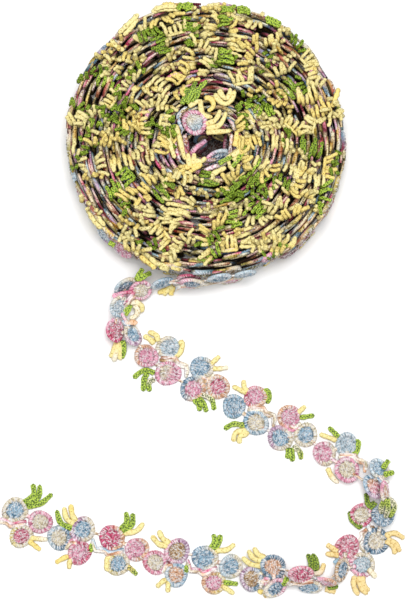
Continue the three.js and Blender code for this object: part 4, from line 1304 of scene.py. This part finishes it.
def wound_ribbon(finishes):
    rng = np.random.default_rng(SEED + 2)
    spiral = Spiral(rng)
    lace, fine = Gathering(), FineFlowers(rng)
    rim, disc = ring_cord(14, 4), worked_disc(10, 3)
    bar = rod([(0, 0.8), (0.33, 1.0), (0.66, 0.84), (1, 0.8)], 4)
    leaves = Leaves(knobbly_rod(WOUND_KNOBS, depth=0.26, taper=0.04, sides=6), rng, WOUND_KNOBS)
    # The outermost turn and the innermost one are seen from the side, so their flowers are fine ones
    outer = spiral.length - 2 * math.pi * ROLL["radius"] * 1.04
    inner = 2 * math.pi * HOLE["half_length"]
    stations = np.arange(CLUSTER_PITCH / 2, spiral.length, CLUSTER_PITCH)
    for index, at in enumerate(stations):
        layout = LAYOUTS[index % 2]
        for along, across, radius in layout["flowers"]:

            def to_place(points, start=at + along, across=across):
                return spiral.point_at(start + points[:, 0], across + points[:, 1], points[:, 2] * TIGHTNESS)

            rim_name, middle_name = rng.choice(WOUND_RIMS), rng.choice(WOUND_MIDDLES)
            if not inner <= at <= outer:
                fine.add(to_place, radius, rim_name, middle_name)
                continue
            size = radius / FLOWER_RADIUS
            for form, name in ((rim, rim_name), (disc, middle_name)):
                flat = form.points * (size, size, 1)
                points, share = to_place(flat), 0.5 + flat[:, 0] / radius / 2
                lace.add(form, points, wound_colours(name, share, points, rng), ring_places(flat))
        lay_low_leaves(spiral, leaves, at, layout, rng)
        lay_wound_bars(spiral, lace, bar, at, layout, rng)
    sprays = [(spiral.nearest(x, y), GREEN_WANDER, GREEN_LEAVES)
              for x, y, count in GREEN_PATCHES for _ in range(count)]
    taken = {int(np.argmin(np.abs(stations - at))) for at, _, _ in sprays}
    sprays += [(at, PALE_WANDER, PALE_LEAVES) for index, at in enumerate(stations) if index not in taken]
    bed = LeafBed()
    for index in rng.permutation(len(sprays)):
        lay_spray(spiral, bed, leaves, sprays[index], rng)
    for name, height, *path in OUTLINE_LEAVES:
        leaves.add([(*spot, height) for spot in path], name)
    for spot, heading, tilt, radius, rim_name, middle_name in OUTLINE_FLOWERS:
        fine.add(worked_on(frame_from(spot, heading, tilt)), radius, rim_name, middle_name)
    roll = lace.piece("wound_lace", finishes["wound"], "flower_thread")
    fine.lace.piece("outer_turn_lace", finishes["cord"], "flower_thread")
    fine.stitches.piece("outer_turn_stitches", finishes["stitch"], "flower_thread")
    leaves.pieces("wound_leaves", finishes)
    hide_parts("wound_roll")


# The inner end

def inner_end(finishes):
    rng = np.random.default_rng(SEED + 3)
    flowers = FineFlowers(rng)
    leaves = Leaves(knobbly_rod(knobs=8, depth=0.1, taper=0.3, sides=8), rng)
    x, y, radius = INNER_FLOWER
    lying = frame_from((x, y, INNER_BED + LACE_THICKNESS / 2), -60, 0)
    flowers.add(worked_on(lying), radius, "pink", "cream-sky")
    for number, (name, *path) in enumerate(INNER_LEAVES):
        height = INNER_BED + LEAF_THICKNESS / 2 + 0.2 + 0.1 * (number % 3)
        width = INNER_GREEN_WIDTH if name in GREENS else LEAF_WIDTH
        leaves.add([(*spot, height) for spot in path], name, width=width)
    curve, length = smooth_path([(*spot, 0) for spot in CROSSING])
    shares = np.linspace(0, length, len(curve))
    heading = np.arctan2(np.gradient(curve[:, 1]), np.gradient(curve[:, 0]))
    for along, height, rim, middle in CROSSING_FLOWERS:

        def standing(points, along=along, height=height):
            at = np.clip(along + points[:, 0], -2, length + 2)
            turn, out = np.interp(at, shares, heading), points[:, 2] * 1.5
            px = np.interp(at, shares, curve[:, 0]) - out * np.sin(turn)
            py = np.interp(at, shares, curve[:, 1]) + out * np.cos(turn)
            return np.stack([px, py, np.maximum(height + points[:, 1], LOWEST)], 1)

        flowers.add(standing, FLOWER_RADIUS, rim, middle)
    for spot, heading_there, tilt, wall_radius, rim, middle, light in INNER_WALLS:
        flowers.add(worked_on(frame_from(spot, heading_there, tilt)), wall_radius, rim, middle, light)
    for name, width, *path in INNER_STRANDS:
        colours = shaded(thread(name, leaves.form.points[:, 0]), rng)
        spots = [(*spot, UPPER_EDGE + 0.2) for spot in path]
        flowers.lace.add_bent(leaves.form, spots, (UP, UP), width, width, colours)
    lace = flowers.lace.piece("inner_end_lace", finishes["cord"], "flower_thread")
    flowers.stitches.piece("inner_end_stitches", finishes["stitch"], "flower_thread")
    leaves.pieces("inner_end_leaves", finishes)
    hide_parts("inner_end")


# The room

def floor():
    mesh = bpy.data.meshes.new("floor")
    bm = bmesh.new()
    bmesh.ops.create_grid(bm, x_segments=1, y_segments=1, size=FLOOR_REACH)
    bm.to_mesh(mesh)
    bm.free()
    white = Finish("floor_white").finished({"Base Color": FLOOR_COLOUR, "Roughness": FLOOR_ROUGHNESS})
    mesh.materials.append(white)
    add_object("floor", mesh)


def set_up(name, data, target, azimuth, elevation, distance):
    """A lamp or the camera, that looks at the target from an azimuth and elevation in degrees."""
    azimuth, elevation = math.radians(azimuth), math.radians(elevation)
    way = Vector((math.cos(azimuth) * math.cos(elevation), math.sin(azimuth) * math.cos(elevation),
                  math.sin(elevation)))
    obj = add_object(name, data)
    obj.location = Vector(target) + way * distance
    obj.rotation_mode = "QUATERNION"
    obj.rotation_quaternion = (-way).to_track_quat("-Z", "Y")
    return obj


def studio():
    scene = bpy.context.scene
    scene.view_settings.view_transform = "Standard"
    world = bpy.data.worlds.new("studio")
    world.use_nodes = True
    background = world.node_tree.nodes["Background"]
    background.inputs["Color"].default_value = (1, 1, 1, 1)
    background.inputs["Strength"].default_value = WORLD_STRENGTH
    scene.world = world
    for number, (azimuth, elevation, size, light) in enumerate(LAMPS):
        lamp = bpy.data.lights.new(f"lamp_{number}", "AREA")
        lamp.size = size
        lamp.energy = light * (math.pi * LAMP_DISTANCE) ** 2 / math.sin(math.radians(elevation))
        set_up(lamp.name, lamp, (0, 0, 0), azimuth, elevation, LAMP_DISTANCE)
    camera = bpy.data.cameras.new("camera")
    camera.lens = CAMERA_LENS
    scene.camera = set_up("camera", camera, CAMERA_AIM, -90, CAMERA_ELEVATION, CAMERA_DISTANCE)


studio()
floor()
FINISHES = {
    "leaf": leaf_finish("pale_leaf_thread", AMBER_SHADE, gloss=0.3),
    "wound_leaf": leaf_finish("wound_leaf_thread", BROWN_SHADE, gloss=0.15),
    "bead": bead_finish("green_leaf_thread"),
    "ring": ring_finish("green_ring_thread"),
    "cord": cord_finish("flower_cord", GROOVE_SHADE, depth=0.4, pitch=1.0, gloss=0.3),
    "wound": cord_finish("wound_cord", OLIVE_SHADE, depth=0.62, pitch=1.0, gloss=0.1),
    "stitch": cord_finish("flower_stitch", GROOVE_SHADE, depth=0.2, pitch=0.9, gloss=0.3),
}
loose_end(FINISHES)
wound_ribbon(FINISHES)
inner_end(FINISHES)
